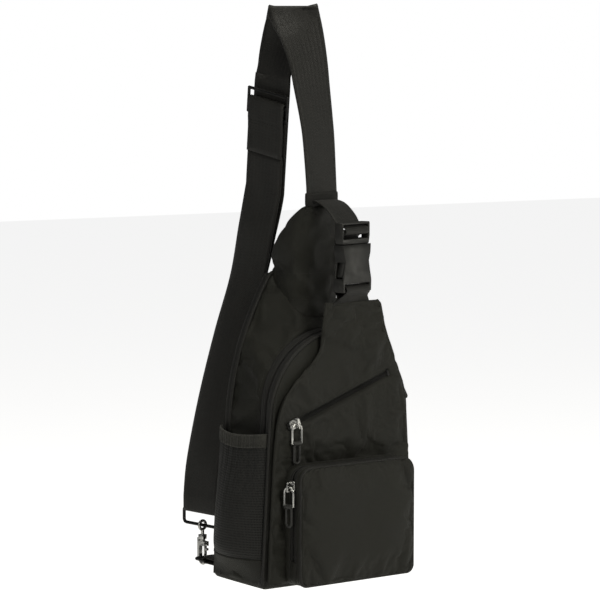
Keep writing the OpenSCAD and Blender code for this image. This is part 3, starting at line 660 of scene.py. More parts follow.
def make_shoulder_strap():
    rows = strap_route(8)
    p = np.array([r[:3] for r in rows])
    total = np.concatenate([[0], np.cumsum(np.linalg.norm(np.diff(p, axis=0), axis=1))])
    grid = web_rows(rows, strap_w)
    for line in grid:
        x, _, z = line[len(line) // 2]
        lift = 3.4 * smoothstep(75, 120, z) * (1 - smoothstep(325, 362, z)) if x < -15 else 0
        for k, q in enumerate(np.linspace(-1, 1, len(line))):
            line[k] = line[k] + leg_out * lift * (1 - q * q)
    strap = sheet("strap_webbing", grid, WEBBING)
    settle(add_thickness(strap, web_t, 0), "bag", "webbing", "shoulder_strap")
    edges = []
    grid = np.array(web_rows(rows, strap_w - 5, 2))
    for side in (0, 1):
        line = grid[:, side]
        keep = (total > stitched_from) & (total < stitched_to)
        out = out_way(edge_yaw)
        edges.append(stitches("strap_edge", line[keep] + out * (web_t / 2 + 0.1), out, 3.6))
    settle(join("strap_edge_stitching", edges), "bag", "webbing")


glide_at = run_top + run_dir * 26
run_out = unit(np.cross(run_dir, flat_way(strap_yaw)))
glide_x = unit(np.cross(run_out, run_dir))


def at_glide(x, y, z):
    return glide_at + glide_x * x - run_out * y - run_dir * z


loop_inner = 2.6
loop_len = 50
loop_t = 1.1


def loop_face(z):
    """Depth of the loop's outer layer, which lies down on the strap under its stitches."""
    return -layer_gap - loop_inner + 1.0 * (1 - smoothstep(-26, -14, z))


def make_strap_loop():
    heights = np.linspace(-loop_len, 1.6, 10)
    path = [(loop_inner - layer_gap, z) for z in heights]
    path += [(loop_inner * cos(a) - layer_gap, 1.6 + loop_inner * sin(a))
             for a in np.linspace(0, pi, 9)[1:-1]]
    path += [(loop_face(z), z) for z in heights[::-1]]
    rows = [[at_glide(x, y, z) for x in np.linspace(strap_w / 2, -strap_w / 2, 9)] for y, z in path]
    loop = sheet("strap_folded_end", rows, WEBBING)
    settle(add_thickness(loop, loop_t, 0), "glide", "webbing", "strap_end_loop")
    rows_of_thread = []
    half = strap_w / 2 - 2
    for z in (-19, -22):
        line = [at_glide(x, loop_face(z) - loop_t / 2 - 0.05, z) for x in (-half, half)]
        rows_of_thread.append(stitches("loop_stitch", line, run_out, 3.0))
    settle(join("strap_end_stitching", rows_of_thread), "glide", "webbing")


# ---------- yoke and front webbing ----------
yoke_route = [[0, 9, 300, 0, 30, 24, 0.55], [0, 5, 318, 2, 30, 21, 0.25], [0, -1, 333, 5, 29, 16.5, 0.05],
              [0, -8, 345, 10, 28, 11.5, 0], [0.3, -14, 353, 15, 26, 6.5, 0],
              [0.4, -16, 357, 17, 24.5, 3.2, 0], [0.4, -16.5, 362, 17, 23.6, 1.9, 0]]
yoke_foot_row = [0, 11, 0, 0, 29.5, 25, 0]
yoke_sides = 64
yoke_seams = [272, 297]


def yoke_ring(r):
    """Ring with blunt corners from x, y, z, yaw, half width, half depth and tilt. It starts behind."""
    ring = []
    c, s = cos(radians(r[3])), sin(radians(r[3]))
    for k in range(yoke_sides):
        a = pi / 2 + 2 * pi * (k + 0.5) / yoke_sides
        across = r[4] * blunt(cos(a), 0.6)
        back = r[5] * blunt(sin(a), 0.6)
        ring.append([r[0] + across * c - back * s, r[1] + across * s + back * c, r[2] + r[6] * back])
    return ring


def yoke_foot(x, y):
    """Height just inside the gusset's top or, at the back, inside the back pad."""
    if y > 23:
        return top_z - 1
    return lerp(zip_z + zip_r, top_z + 3, (y - zip_y) / (rear_y - zip_y)) - 3 - 0.008 * x * x


def make_yoke():
    foot = np.array([[x, y, yoke_foot(x, y)] for x, y, _ in yoke_ring(yoke_foot_row)])
    first = np.array(yoke_ring(yoke_route[0]))
    rings = [lerp(foot, first, t) for t in np.linspace(0, 1, 9)[:-1]]
    rings += [yoke_ring(r) for r in smooth(yoke_route, 5)]
    yoke = sheet("yoke_pad", rings, NYLON, closed=True, flip=True)
    n = len(rings)
    cap_ends(yoke, yoke_sides, n)
    hold = []
    for i in range(n):
        for x, y, z in rings[i]:
            at_end = i < 2 or i > n - 3
            at_seam = min(abs(z - seam) for seam in yoke_seams) < 1.6
            hold.append(1 if at_end else (0.7 if at_seam else 0))
    let_relax(yoke, hold, 0.06, 3.0, pressure=1.5, bending=0.15, rough=0.5)
    return yoke


def finish_yoke(yoke):
    """Sewn grooves across the front and sides, each with a row of stitches under it."""
    mesh = yoke.data
    for vertex in mesh.vertices:
        x, y, z = (c / MM for c in vertex.co)
        inward = unit(np.array([-x, 8 - y]))
        depth = 2.6 * sum(exp(-((z - seam) / 2.6) ** 2) for seam in yoke_seams)
        vertex.co.x += inward[0] * depth * MM
        vertex.co.y += inward[1] * depth * MM
    rings = np.array([v.co for v in mesh.vertices]).reshape(-1, yoke_sides, 3) / MM
    lines = []
    for level in yoke_seams:
        line = []
        for k in range(yoke_sides // 5, yoke_sides - yoke_sides // 5):
            column = rings[:, k]
            if column[0, 2] < level - 6:
                line.append([np.interp(level - 4.5, column[:, 2], column[:, axis]) for axis in range(3)])
        out = [unit(np.array([q[0], q[1] - 8, 0])) for q in line]
        line = [q + o * 0.2 for q, o in zip(line, out)]
        lines.append(stitches("thread", line, lambda q: [q[0], q[1] - 8, 0], 3.2))
    settle(join("yoke_stitching", lines), "bag", "trim")


def cap_ends(obj, m, n):
    """Closes a tube of rings at both ends."""
    made = bmesh.new()
    made.from_mesh(obj.data)
    made.verts.ensure_lookup_table()
    made.faces.new([made.verts[k] for k in range(m)])
    made.faces.new([made.verts[(n - 1) * m + k] for k in reversed(range(m))])
    bmesh.ops.recalc_face_normals(made, faces=made.faces)
    made.to_mesh(obj.data)
    made.free()


front_yaw = 17
anchor_at = [0.3, -16.6]


def make_anchor():
    """Stitched band where the strap is sewn into the yoke."""
    way, out = flat_way(front_yaw), out_way(front_yaw)
    rings = []
    for z, swell in ((357.5, -0.5), (358.3, 0.3), (361, 0.5), (367, 0.5), (369.6, 0.3), (370.2, -0.5)):
        at = np.array([*anchor_at, z])
        ring = []
        for a in np.linspace(0, 2 * pi, 36, endpoint=False):
            ring.append(at + way * (24.4 + swell) * blunt(cos(a), 0.3)
                        + out * (2.2 + swell) * blunt(sin(a), 0.5))
        rings.append(ring)
    band = sheet("strap_anchor_band", rings, NYLON_DARK, closed=True)
    settle(band, "bag", "trim", "strap_anchor")
    lines = []
    for z in (359.8, 368.2):
        line = [np.array([*anchor_at, z]) + way * x + out * 2.75 for x in (-22, 22)]
        lines.append(stitches("anchor_stitch", line, out, 2.8))
    settle(join("strap_anchor_stitching", lines), "bag", "trim")


buckle_at = np.array([4, -61, 310.5])
front_web_w = 38


def at_buckle(x, y, z):
    """A point in the buckle's own frame: x across, y towards the bag, z up."""
    return buckle_at + flat_way(front_yaw) * x - out_way(front_yaw) * y + np.array([0, 0, z])


def make_yoke_webbing():
    """Front webbing from the yoke's peak, round the plug's middle bar."""
    lead = smooth([[1.2, -19.6, 362, 17], [2.2, -23, 361.8, 17], [2.6, -30, 360, 17], [2.8, -38, 356.2, 17],
                   [3.1, -47, 349.8, 17], [3.3, -52.5, 344, 17]], 4)
    rows = web_rows(lead, front_web_w, 9, lambda t: 1.2 * sin(pi * t))
    wrap = [(4.0, 30.6), (0.5, 29.4), (-3.8, 28.4), (-5.9, 26.4), (-6.0, 23.6), (-4.2, 22.0), (0, 21.3),
            (4.6, 20.8), (6.6, 18.8), (7.3, 15.5), (7.4, 11)]
    for y, z in wrap:
        rows.append([at_buckle(front_web_w * q, y, z) for q in np.linspace(0.5, -0.5, 9)])
    web = sheet("front_upper_webbing", rows, WEBBING)
    add_thickness(web, web_t, 0)
    add_subdivision(web)
    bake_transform(web)
    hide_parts("yoke_webbing")


def make_overlay_webbing():
    """Webbing from inside the overlay's top edge, round the socket's lower bar. It widens below the bar."""
    rows = []
    for share, z, width in ((1, -47, 47), (0.7, -43.5, 46), (0.2, -38.5, 43)):
        rows.append([lerp(at_buckle(width * q, 1, z), buckle_at + [width * q, 3.2, z], share)
                     for q in np.linspace(0.5, -0.5, 9)])
    for y, z in ((4.0, -35.2), (7.2, -33.2), (7.6, -29.4), (5, -27.0), (0, -26.6), (-5, -27.0), (-7.5, -29.2),
                 (-7.5, -32.4), (-5.2, -34.9), (-1.6, -37.5)):
        width = front_web_w if z > -34 else 42
        rows.append([at_buckle(width * q, y, z) for q in np.linspace(0.5, -0.5, 9)])
    rows.append([buckle_at + [46 * q, 1.2, -44] for q in np.linspace(0.5, -0.5, 9)])
    web = sheet("front_lower_webbing", rows, WEBBING)
    add_thickness(web, web_t - 0.3, 0)
    add_subdivision(web)
    settle(web, "bag", "webbing", "overlay_webbing")


# ---------- body ----------
overlay_y = front_y - cloth - 0.4
overlay_t = 3
neck_lean = 9
neck_z = 226
overlay_top = 268
diag_mid = np.array([-4.5, 173.5])
diag_len = 128
diag_slope = radians(20)
pull_near_x, pull_far_x = -57, 47


def make_gusset():
    """Side and top cloth from the rear seam to the main zip."""
    rows = []
    for s in np.linspace(0, 2, 200):
        (rx, rz), out = outline_point(rear_half, s)
        zx, zz = over_the_top(zip_half, s)
        column = []
        for v in np.linspace(0, 1, 22):
            puff = 3.2 * sin(pi * v) ** 0.8
            x, z = lerp(rx, zx, v) + out[0] * puff, lerp(rz, zz, v) + out[1] * puff
            column.append([x, lerp(rear_y, zip_y, v), z])
        rows.append(column)
    gusset = sheet("side_and_top_gusset", rows, NYLON, flip=True)
    let_relax(gusset, grid_hold(200, 22), 0.035, 3.5, bending=0.3)
    return gusset


def strip_point(s, y, lift=0.0):
    """Point on the zip band between the zip seam and the front seam."""
    share = (zip_y - y) / (zip_y - front_y)
    front, out = outline_point(front_half, s)
    x, z = lerp(np.array(over_the_top(zip_half, s)), front, share) + out * lift
    return np.array([x, y, z])


def make_main_zip():
    """Two tapes that crown a little over the coil between them."""
    edge = coil_w / 2 - 0.6
    parts = []
    for near, far in ((zip_y, coil_y + edge), (coil_y - edge, front_y)):
        rows = [[strip_point(s, lerp(near, far, v), 2.1 * sin(pi * (0.12 + 0.76 * v)))
                 for v in np.linspace(0, 1, 9)] for s in np.linspace(0, 2, 220)]
        parts.append(sheet("tape", rows, ZIP_TAPE, flip=True))
    tape = join("main_zip_tapes", parts)
    settle(add_thickness(tape, 1.2), "bag", "zip_tape", "main_zip_tape")

    def away(q):
        return [q[0], 0, q[2] - 120 if q[2] > 161 else 0]
    line = [strip_point(s, coil_y, 0.15) for s in np.linspace(0.01, 1.99, 300)]
    teeth = coil("main_zip_teeth", line, away, coil_w - 0.6)
    settle(teeth, "bag", "coil", "main_zip_coil")


def seam_line(half, y, lift):
    line = []
    for s in np.linspace(0, 2, 200):
        point, out = outline_point(half, s)
        x, z = point + out * lift
        line.append([x, y, z])
    return line


def make_seams():
    """Piping along the front and rear seams, and the bound edges of the main zip."""
    front = tube("front_seam_piping", seam_line(front_half, front_y, 1.6), 1.7, BINDING, 10)
    settle(front, "bag", "trim", "front_piping")
    rear = tube("rear_seam_piping", seam_line(rear_half, rear_y, 1.2), 1.8, BINDING, 10)
    settle(rear, "bag", "trim", "rear_piping")
    edge = tube("main_zip_edge", seam_line(zip_half, zip_y, 0.5), 0.9, NYLON_DARK, 6)
    settle(edge, "bag", "trim")
    line = seam_line(zip_half, zip_y + 3.2, 3.0)
    settle(stitches("main_zip_stitching", line, lambda q: [q[0], 0, q[2] - 150], 3.4), "bag", "trim")


def make_front_panel():
    rows = []
    for t in list(np.linspace(0, 0.97, 60)) + [0.99, 0.998]:
        x, z = front_half(t)
        full = 1.2 * min(1, 6 * (1 - t))
        rows.append([[x * q, front_y - 0.6 - full * (1 - q * q), z] for q in np.linspace(1, -1, 40)])
    panel = sheet("front_panel_cloth", rows, NYLON)
    settle(add_thickness(panel, 1.0, 1), "bag", "shell", "front_panel")


def overlay_side(z, left):
    """Half outline of the overlay as x for a height."""
    side = -1 if left else 1
    if left:
        arc = [[-77, 150], [-70, 196], [-30, 204], [-26, neck_z]]
        upper = [(-26, 240), (-26, overlay_top)]
    else:
        arc = [[78.5, 145], [77, 180], [66, 208], [54, neck_z + 4]]
        upper = [(48, 243), (43.5, 256), (40.5, 264), (36, overlay_top)]
    lower = [(side * (lerp(base_w / 2, front_r, h / front_z) - 1), h) for h in (4, 40, 80, 120)]
    points = [*lower, *(bezier(arc, k / 24) for k in range(25)), *upper]
    return np.interp(z, [p[1] for p in points], [p[0] for p in points])


def overlay_face(z):
    return overlay_y - overlay_t - neck_lean * (max(z - 205, 0) / (overlay_top - 205)) ** 1.5


def zip_valley(x, z):
    """How far the overlay dips along its zip, from 0 to 1."""
    dx, dz = x - diag_mid[0], z - diag_mid[1]
    along = dx * cos(diag_slope) + dz * sin(diag_slope)
    across = -dx * sin(diag_slope) + dz * cos(diag_slope)
    inside = 1 - smoothstep(diag_len / 2, diag_len / 2 + 2.5, abs(along))
    return inside * (1 - smoothstep(3.4, 5.2, abs(across)))


def under_pull(x, z):
    """1 where the cloth lies flat under the diagonal zip's pull, at both ends of its travel, else 0."""
    near = hypot(x - pull_near_x, max(0, 118 - z, z - 155))
    far = hypot(x - pull_far_x, max(0, 150 - z, z - 192))
    return max(1 - smoothstep(7, 20, near), 1 - smoothstep(6, 22, far))


def make_overlay():
    """Front overlay with the free neck that runs up to the webbing."""
    heights = np.concatenate([np.linspace(3, 118, 38)[:-1], np.linspace(118, overlay_top, 90)])
    rows, hold = [], []
    for z in heights:
        left, right = overlay_side(z, True), overlay_side(z, False)
        full = smoothstep(112, 140, z) * (1 - 0.7 * smoothstep(225, 262, z))
        points = []
        for q in np.linspace(0, 1, 84):
            x = lerp(right, left, q)
            edge = min(q, 1 - q) * (right - left)
            flat = under_pull(x, z)
            puff = 2.4 * smoothstep(0, 26, edge) * full * (1 - flat)
            valley = zip_valley(x, z)
            y = overlay_face(z) - puff * (1 - valley) + 2.2 * valley
            y += 1.2 * (1 - smoothstep(0, 2.5, edge))
            points.append([x, y, z])
            behind_pocket = abs(x) < 62 and z < 108
            at_zip = zip_valley(lerp(diag_mid[0], x, 0.97), lerp(diag_mid[1], z, 0.8)) > 0.3
            held = edge < 1.2 or behind_pocket or at_zip or z < 5 or z > overlay_top - 3
            hold.append(1.0 if held else 0.35 * flat)
        rows.append(points)
    overlay = sheet("front_overlay_cloth", rows, NYLON)
    let_relax(overlay, hold, 0.045, 2.6, bending=0.35, rough=0.6)
    return overlay


def on_overlay(along, across, out=0.0):
    c, s = cos(diag_slope), sin(diag_slope)
    return np.array([diag_mid[0] + along * c - across * s, overlay_y - overlay_t - out,
                     diag_mid[1] + along * s + across * c])


def make_diagonal_zip():
    tapes = []
    for side in (-1, 1):
        rows = [[on_overlay(a, side * lerp(1.2, 4.9, v), -0.3 - 0.7 * v) for v in np.linspace(0, 1, 5)]
                for a in np.linspace(-diag_len / 2, diag_len / 2, 60)]
        tapes.append(sheet("tape", rows, ZIP_TAPE, flip=side > 0))
    tape = join("diagonal_zip_tapes", tapes)
    settle(tape, "bag", "zip_tape", "diagonal_zip_tape")
    line = [on_overlay(end * (diag_len / 2 - 2), 0, -0.1) for end in (-1, 1)]
    teeth = coil("diagonal_zip_teeth", line, [0, -1, 0], coil_w)
    settle(teeth, "bag", "coil", "diagonal_zip_coil")
    welts = []
    for side in (-1, 1):
        line = [on_overlay(a, side * 5.0, 0.1) for a in np.linspace(-diag_len / 2 - 1, diag_len / 2 + 1, 50)]
        welts.append(tube("welt", line, 0.75, NYLON, 8))
        thread = [on_overlay(a, side * 7.4, 0.75) for a in (-diag_len / 2, diag_len / 2)]
        welts.append(stitches("thread", thread, [0, -1, 0], 3.0))
    for end in (-1, 1):
        line = [on_overlay(end * (diag_len / 2 + 1), c, 0.0) for c in np.linspace(-5, 5, 8)]
        welts.append(tube("welt", line, 0.7, NYLON, 8))
    settle(join("diagonal_zip_welts", welts), "bag", "shell")


# ---------- front pocket ----------
pocket_w = pocket_high_box[0] - pocket_low_box[0]
pocket_top = pocket_high_box[2]
pocket_foot = pocket_low_box[2]
pocket_face_y = pocket_low_box[1]
pocket_back = overlay_y - overlay_t - 0.2
zip_back = pocket_back - 8
zip_front = pocket_face_y + 7
pocket_coil_y = (zip_back + zip_front) / 2
pocket_r = 12
pocket_foot_r = 6
zip_foot = 24


def pocket_outline(out=0.0, n=12):
    """Closed outline of the pocket from its lower right corner, anticlockwise, as x and z."""
    made = []
    w = pocket_w / 2
    for cx, cz, r, a in ((w - pocket_foot_r, pocket_foot + pocket_foot_r, pocket_foot_r, -90),
                         (w - pocket_r, pocket_top - pocket_r, pocket_r, 0),
                         (-w + pocket_r, pocket_top - pocket_r, pocket_r, 90),
                         (-w + pocket_foot_r, pocket_foot + pocket_foot_r, pocket_foot_r, 180)):
        for k in range(n + 1):
            t = radians(a + 90 * k / n)
            made.append((cx + (r + out) * cos(t), cz + (r + out) * sin(t)))
    return made


def spread(points, pitch):
    """A closed outline in x and z as evenly spaced points at a depth of 0, with the direction at each."""
    p = np.array([*points, points[0]], float)
    where, ahead = resample(np.stack([p[:, 0], np.zeros(len(p)), p[:, 1]], axis=1), pitch)
    return where[:-1], ahead[:-1]


def one_stretch(items, keep):
    """The kept items of a closed ring, in order from the gap between its ends."""
    start = next(i for i in range(len(items)) if keep[i] and not keep[i - 1])
    order = [*range(start, len(items)), *range(start)]
    return [items[i] for i in order if keep[i]]


def pocket_band(name, y0, y1, material, puff, above=None, below=None):
    """Band of cloth round the pocket between two depths, whole or only above or below a height."""
    where, ahead = spread(pocket_outline(), 2.5)
    rows = []
    for q, t in zip(where, ahead):
        out = np.array([t[2], 0, -t[0]])
        rows.append([q + out * puff * sin(pi * v) + np.array([0, lerp(y0, y1, v), 0])
                     for v in np.linspace(0, 1, 9)])
    if above is None and below is None:
        return sheet(name, rows, material, wrap=True)
    keep = [r[0][2] >= above if above is not None else r[0][2] <= below for r in rows]
    return sheet(name, one_stretch(rows, keep), material)


def pocket_path(out, y, above=None):
    where, _ = spread(pocket_outline(out), 2.0)
    line = [q + [0, y, 0] for q in where]
    if above is None:
        return line
    return one_stretch(line, [q[2] >= above for q in line])


def pocket_away(q):
    """Out of the pocket's outline: up along its top, sideways along its sides, between them at a corner."""
    w = pocket_w / 2 - pocket_r
    if abs(q[0]) <= w:
        return [0, 0, 1]
    return [q[0] - copysign(w, q[0]), 0, max(q[2] - (pocket_top - pocket_r), 0)]


def make_pocket():
    back = pocket_band("pocket_side", pocket_back + 1.5, zip_back, NYLON, 1.2)
    low = pocket_band("pocket_side", zip_back, zip_front, NYLON, 1.0, below=zip_foot + 3)
    sides = join("pocket_side_cloth", [back, low])
    settle(add_thickness(sides, 1.0), "bag", "shell", "pocket_gusset")
    edge = coil_w / 2 - 0.5
    tapes = [pocket_band("tape", zip_back, pocket_coil_y + edge, ZIP_TAPE, 0.4, above=zip_foot - 2),
             pocket_band("tape", pocket_coil_y - edge, zip_front, ZIP_TAPE, 0.4, above=zip_foot - 2)]
    tape = join("pocket_zip_tapes", tapes)
    settle(add_thickness(tape, 1.0), "bag", "zip_tape", "pocket_zip_tape")
    teeth = coil("pocket_zip_teeth", pocket_path(0.1, pocket_coil_y, zip_foot), pocket_away, coil_w)
    settle(teeth, "bag", "coil", "pocket_zip_coil")
    rim = pocket_band("pocket_rim_cloth", zip_front, pocket_face_y + 0.6, NYLON, 1.0)
    settle(add_thickness(rim, 1.0), "bag", "shell", "pocket_rim")
    piping = tube("pocket_face_piping", pocket_path(0.9, pocket_face_y + 0.2), 1.5, BINDING, 10, closed=True)
    settle(piping, "bag", "trim", "pocket_piping")
    lines = [tube("edge", pocket_path(0.4, zip_back + 0.1), 0.7, NYLON_DARK, 6, closed=True),
             tube("edge", pocket_path(0.4, zip_front - 0.1), 0.7, NYLON_DARK, 6, closed=True)]
    settle(join("pocket_zip_edges", lines), "bag", "trim")


def make_pocket_face():
    rows = []
    for z in np.linspace(pocket_foot, pocket_top, 70):
        half = pocket_w / 2
        for r, past in ((pocket_r, z - pocket_top), (pocket_foot_r, pocket_foot - z)):
            rise = r + past
            if rise > 0:
                half -= r - sqrt(max(r * r - rise * rise, 0))
        v = (z - pocket_foot) / (pocket_top - pocket_foot)
        rows.append([[half * q, pocket_face_y - 4.5 * (1 - q ** 4) * sin(pi * v) ** 0.6, z]
                     for q in np.linspace(1, -1, 80)])
    face = sheet("pocket_face_cloth", rows, NYLON)
    let_relax(face, grid_hold(70, 80, soft=4), 0.045, 3.5, bending=0.35, rough=0.8)
    return face


# ---------- side pockets ----------
mesh_gap = 14
mesh_top = band_high[2]
mesh_front_y = band_low[1]
mesh_rear_y = band_high[1]
hem_z = 26
band_h = 13


def mesh_arch(y):
    """0 at the side pocket's two seams and 1 half way between them."""
    return sin(pi * min(max((y - mesh_front_y) / (mesh_rear_y - mesh_front_y), 0), 1))


def mesh_x(z, y, side):
    """Distance of the pocket's wall from the bag's middle plane, with its sign."""
    bulge = lerp(mesh_gap - 3, mesh_gap, z / mesh_top)
    tuck = smoothstep(-3, 40, z)
    belly = 8 * smoothstep(4, 34, z) * (1 - smoothstep(60, 135, z))
    fullness = bulge * mesh_arch(y) ** 0.6 * tuck + belly * mesh_arch(y)
    return side * (body_half_w(max(z, base_t), y) + 0.5 + fullness)


def mesh_sag(y):
    """Dip of the pocket's mouth between its two seams."""
    return 3.5 * mesh_arch(y)


def gather(y, z):
    """Small upright folds that the elastic pulls into the net."""
    share = smoothstep(30, mesh_top, z)
    wander = 2.5 * noise.noise(Vector((y * 0.06, z * 0.02, 1)))
    folds = sin(y * 0.7 + wander) + 0.7 * sin(y * 1.57 + 1.3) + sin(y * 0.31 + wander)
    return 0.28 * share * folds


def pocket_wall(name, z0, z1, side, material, lift, steps):
    rows = []
    for z in np.linspace(z0, z1, steps):
        points = []
        for y in np.linspace(mesh_front_y, mesh_rear_y, 80):
            x = mesh_x(z, y, side) + side * (gather(y, z) * mesh_arch(y) ** 0.5 + lift)
            points.append([x, y, z - mesh_sag(y) * smoothstep(20, mesh_top, z)])
        rows.append(points)
    return sheet(name, rows, material, flip=side > 0)


def make_side_pocket(side, word):
    net = pocket_wall(word + "_pocket_net", hem_z, mesh_top - band_h + 1, side, NET, 0.4, 40)
    settle(add_thickness(net, 0.8, 0), "bag", "net", word + "_mesh")
    hem = pocket_wall(word + "_pocket_hem", 1.5, hem_z, side, NYLON, 0.6, 16)
    settle(add_thickness(hem, 1.2, 0), "bag", "shell", word + "_mesh_base")
    rings = []
    for y in np.linspace(mesh_front_y, mesh_rear_y, 120):
        free = mesh_arch(y) ** 0.5
        ruffle = 0.45 * sin(y * 1.9) + 0.3 * sin(y * 3.1 + 0.7)
        ring = []
        for a in np.linspace(0, 2 * pi, 16, endpoint=False):
            z = mesh_top + band_h / 2 * (blunt(sin(a), 0.6) - 1)
            thick = (1.25 + ruffle * free) * blunt(cos(a), 0.7)
            x = mesh_x(z, y, side) + side * (gather(y, z) * free * 0.6 + 1.2 + thick)
            ring.append([x, y, z - mesh_sag(y)])
        rings.append(ring)
    band = sheet(word + "_pocket_band", rings, ELASTIC, closed=True, flip=side < 0)
    cap_ends(band, 16, len(rings))
    settle(band, "bag", "trim", word + "_mesh_band")
    lines = []
    for z, lift in ((mesh_top - 2.5, 2.9), (mesh_top - band_h + 2, 2.8), (hem_z - 1.5, 1.5)):
        line = [[mesh_x(z, y, side) + side * lift, y, z - mesh_sag(y) * smoothstep(20, mesh_top, z)]
                for y in np.linspace(mesh_front_y + 4, mesh_rear_y - 4, 40)]
        lines.append(stitches("thread", line, [side, 0, 0], 3.0))
    settle(join(word + "_pocket_stitching", lines), "bag", "trim")
    seam = [[mesh_x(z, mesh_front_y, side) + side * 0.6, mesh_front_y + 0.4, z]
            for z in np.linspace(3, mesh_top - 2, 30)]
    settle(tube(word + "_pocket_seam", seam, 0.9, BINDING, 8), "bag", "trim")


# ---------- padded back and base ----------
foot_points = 44
outline_steps = 60
spine_low, spine_high = 60, 230


def rear_outline(lift):
    """Closed outline of the back panel, as x and z: up one side, down the other and back along the foot."""
    line = []
    for s in np.linspace(0, 2, 2 * outline_steps + 1):
        point, out = outline_point(rear_half, s)
        line.append(tuple(point + out * lift))
    (right, foot), left = line[0], line[-1][0]
    return line + [(lerp(left, right, t), foot) for t in np.linspace(0, 1, foot_points + 2)[1:-1]]


def make_back_pad():
    """Closed pad: a few outlines stacked in depth, filled at both ends by grids that shrink to a spine."""
    rings = []
    climb = np.linspace(spine_low, spine_high, outline_steps + 1)
    spine_z = np.concatenate([climb, climb[::-1][1:], [spine_low] * foot_points])
    profile = ((rear_y + 0.4, -2.0), (rear_y + 0.4, -0.6), (rear_y + 3, 0.2), (back_y - 5, 0.2),
               (back_y - 2, -1.2), (back_y - 0.8, -4))
    for y, out in profile:
        rings.append([[x, y, max(z, 1.0)] for x, z in rear_outline(out)])
    outline = np.array(rear_outline(-4))
    for share in np.linspace(0.04, 1, 30):
        rings.append([[x * (1 - share), back_y - 0.8, lerp(max(z, 3), middle, share)]
                      for (x, z), middle in zip(outline, spine_z)])
    return sheet("back_pad_cloth", rings, NYLON_DARK, closed=True, flip=True)


channels = [80, 150, 220]


def finish_back_pad(pad):
    """Sewn channels across the pad, pressed in after the pad is in shape."""
    mesh = pad.data
    for vertex in mesh.vertices:
        x, y, z = (c / MM for c in vertex.co)
        if y < back_y - 4:
            continue
        edge = rear_half_w(max(z, base_t)) - abs(x)
        swell = 4.2 * smoothstep(4, 34, edge) * smoothstep(4, 30, z) * (1 - smoothstep(262, 288, z))
        groove = 0.0
        for level in channels:
            groove = max(groove, exp(-((z - level - 10 * (1 - (x / 80) ** 2)) / 3.4) ** 2))
        groove = max(groove, exp(-((edge - 17) / 3.0) ** 2) * (1 if z > 14 else 0))
        wobble = 0.5 * noise.noise(Vector((x * 0.05, z * 0.05, 3)))
        vertex.co.y += (swell * (1 - 0.85 * groove) + wobble) * MM


def make_base():
    """Bottom cloth, a shallow rounded tray that sags a little in the middle."""
    rows = []
    low, high = front_y + 0.2, back_y - 1
    for t in np.linspace(-1, 1, 50):
        y = lerp(low, high, (t + 1) / 2)
        points = []
        for q in np.linspace(1, -1, 80):
            roll = min(1 - abs(t) ** 12, 1 - abs(q) ** 24)
            z = 3 - 5.5 * max(roll, 0) ** 0.5 - 2.0 * (1 - q * q) * (1 - t * t)
            points.append([q * (base_w / 2 + 0.6), y, z])
        rows.append(points)
    base = sheet("bottom_cloth", rows, NYLON, flip=True)
    settle(add_thickness(base, 1.0), "bag", "shell", "base_panel")


# ---------- hardware ----------
def make_hardware():
    for word in ("diagonal", "main", "left", "right"):
        hard_copy(word + "_slider", word + "_slider_body", "silver", NICKEL, 0.3)
        hard_copy(word + "_pull_link", word + "_pull", "silver", NICKEL, 0.2)
        hard_copy(word + "_pull_loop", word + "_pull", "grip", GRIP, 0.3)
    hard_copy("diagonal_zip_stops", "bag", "silver", GUNMETAL, 0.25)
    for node, body, bevel in (("buckle_male", "buckle_plug", 0.9),
                              ("buckle_prong_left", "buckle_arm_left", 0.8),
                              ("buckle_prong_right", "buckle_arm_right", 0.8),
                              ("buckle_female", "bag", 1.2)):
        hard_copy(node, body, "buckle_plastic", PLASTIC, bevel)
    hard_copy("tri_glide", "glide", "gunmetal", GUNMETAL, 0.4)
    hard_copy("strap_ring", "ring", "gunmetal", GUNMETAL, 0.1, 60)
    for node, body, bevel in (("clasp_eye", "eye", 0.25), ("clasp_hook", "hook", 0.4),
                              ("clasp_gate", "gate", 0.3), ("gate_pin", "hook", 0.1),
                              ("gate_spring", "hook", 0.05)):
        hard_copy(node, body, "silver", NICKEL, bevel)
    hard_copy("corner_ring", "dee", "gunmetal", GUNMETAL, 0.1, 60)


corner_x, corner_near, corner_z = -79, 55.5, 11


def make_corner_tab():
    path = [(back_y - 3, -2.3), (corner_near - 6, -2.4)]
    path += [(corner_near + 2.7 * sin(a), -2.7 * cos(a)) for a in np.linspace(0, pi, 11)]
    path += [(corner_near - 6, 2.4), (back_y - 3, 2.3)]
    rows = [[[corner_x + x, y, corner_z + z] for x in np.linspace(9, -9, 7)] for y, z in path]
    tab = sheet("corner_tab_webbing", rows, WEBBING)
    settle(add_thickness(tab, 1.5, 0), "bag", "webbing", "corner_tab")
    line = [[corner_x + x, corner_near - 6.5, corner_z + 3.2] for x in (-8, 8)]
    settle(stitches("corner_tab_stitching", line, [0, 0, 1], 2.6), "bag", "trim")


def finish_inner():
    """Pieces inside the bag keep their CAD shape."""
    for node, material in (("back_foam", FOAM), ("back_lining", LINING), ("main_lining", LINING)):
        mesh = frame["nodes"][node].data
        mesh.materials.clear()
        mesh.materials.append(material)


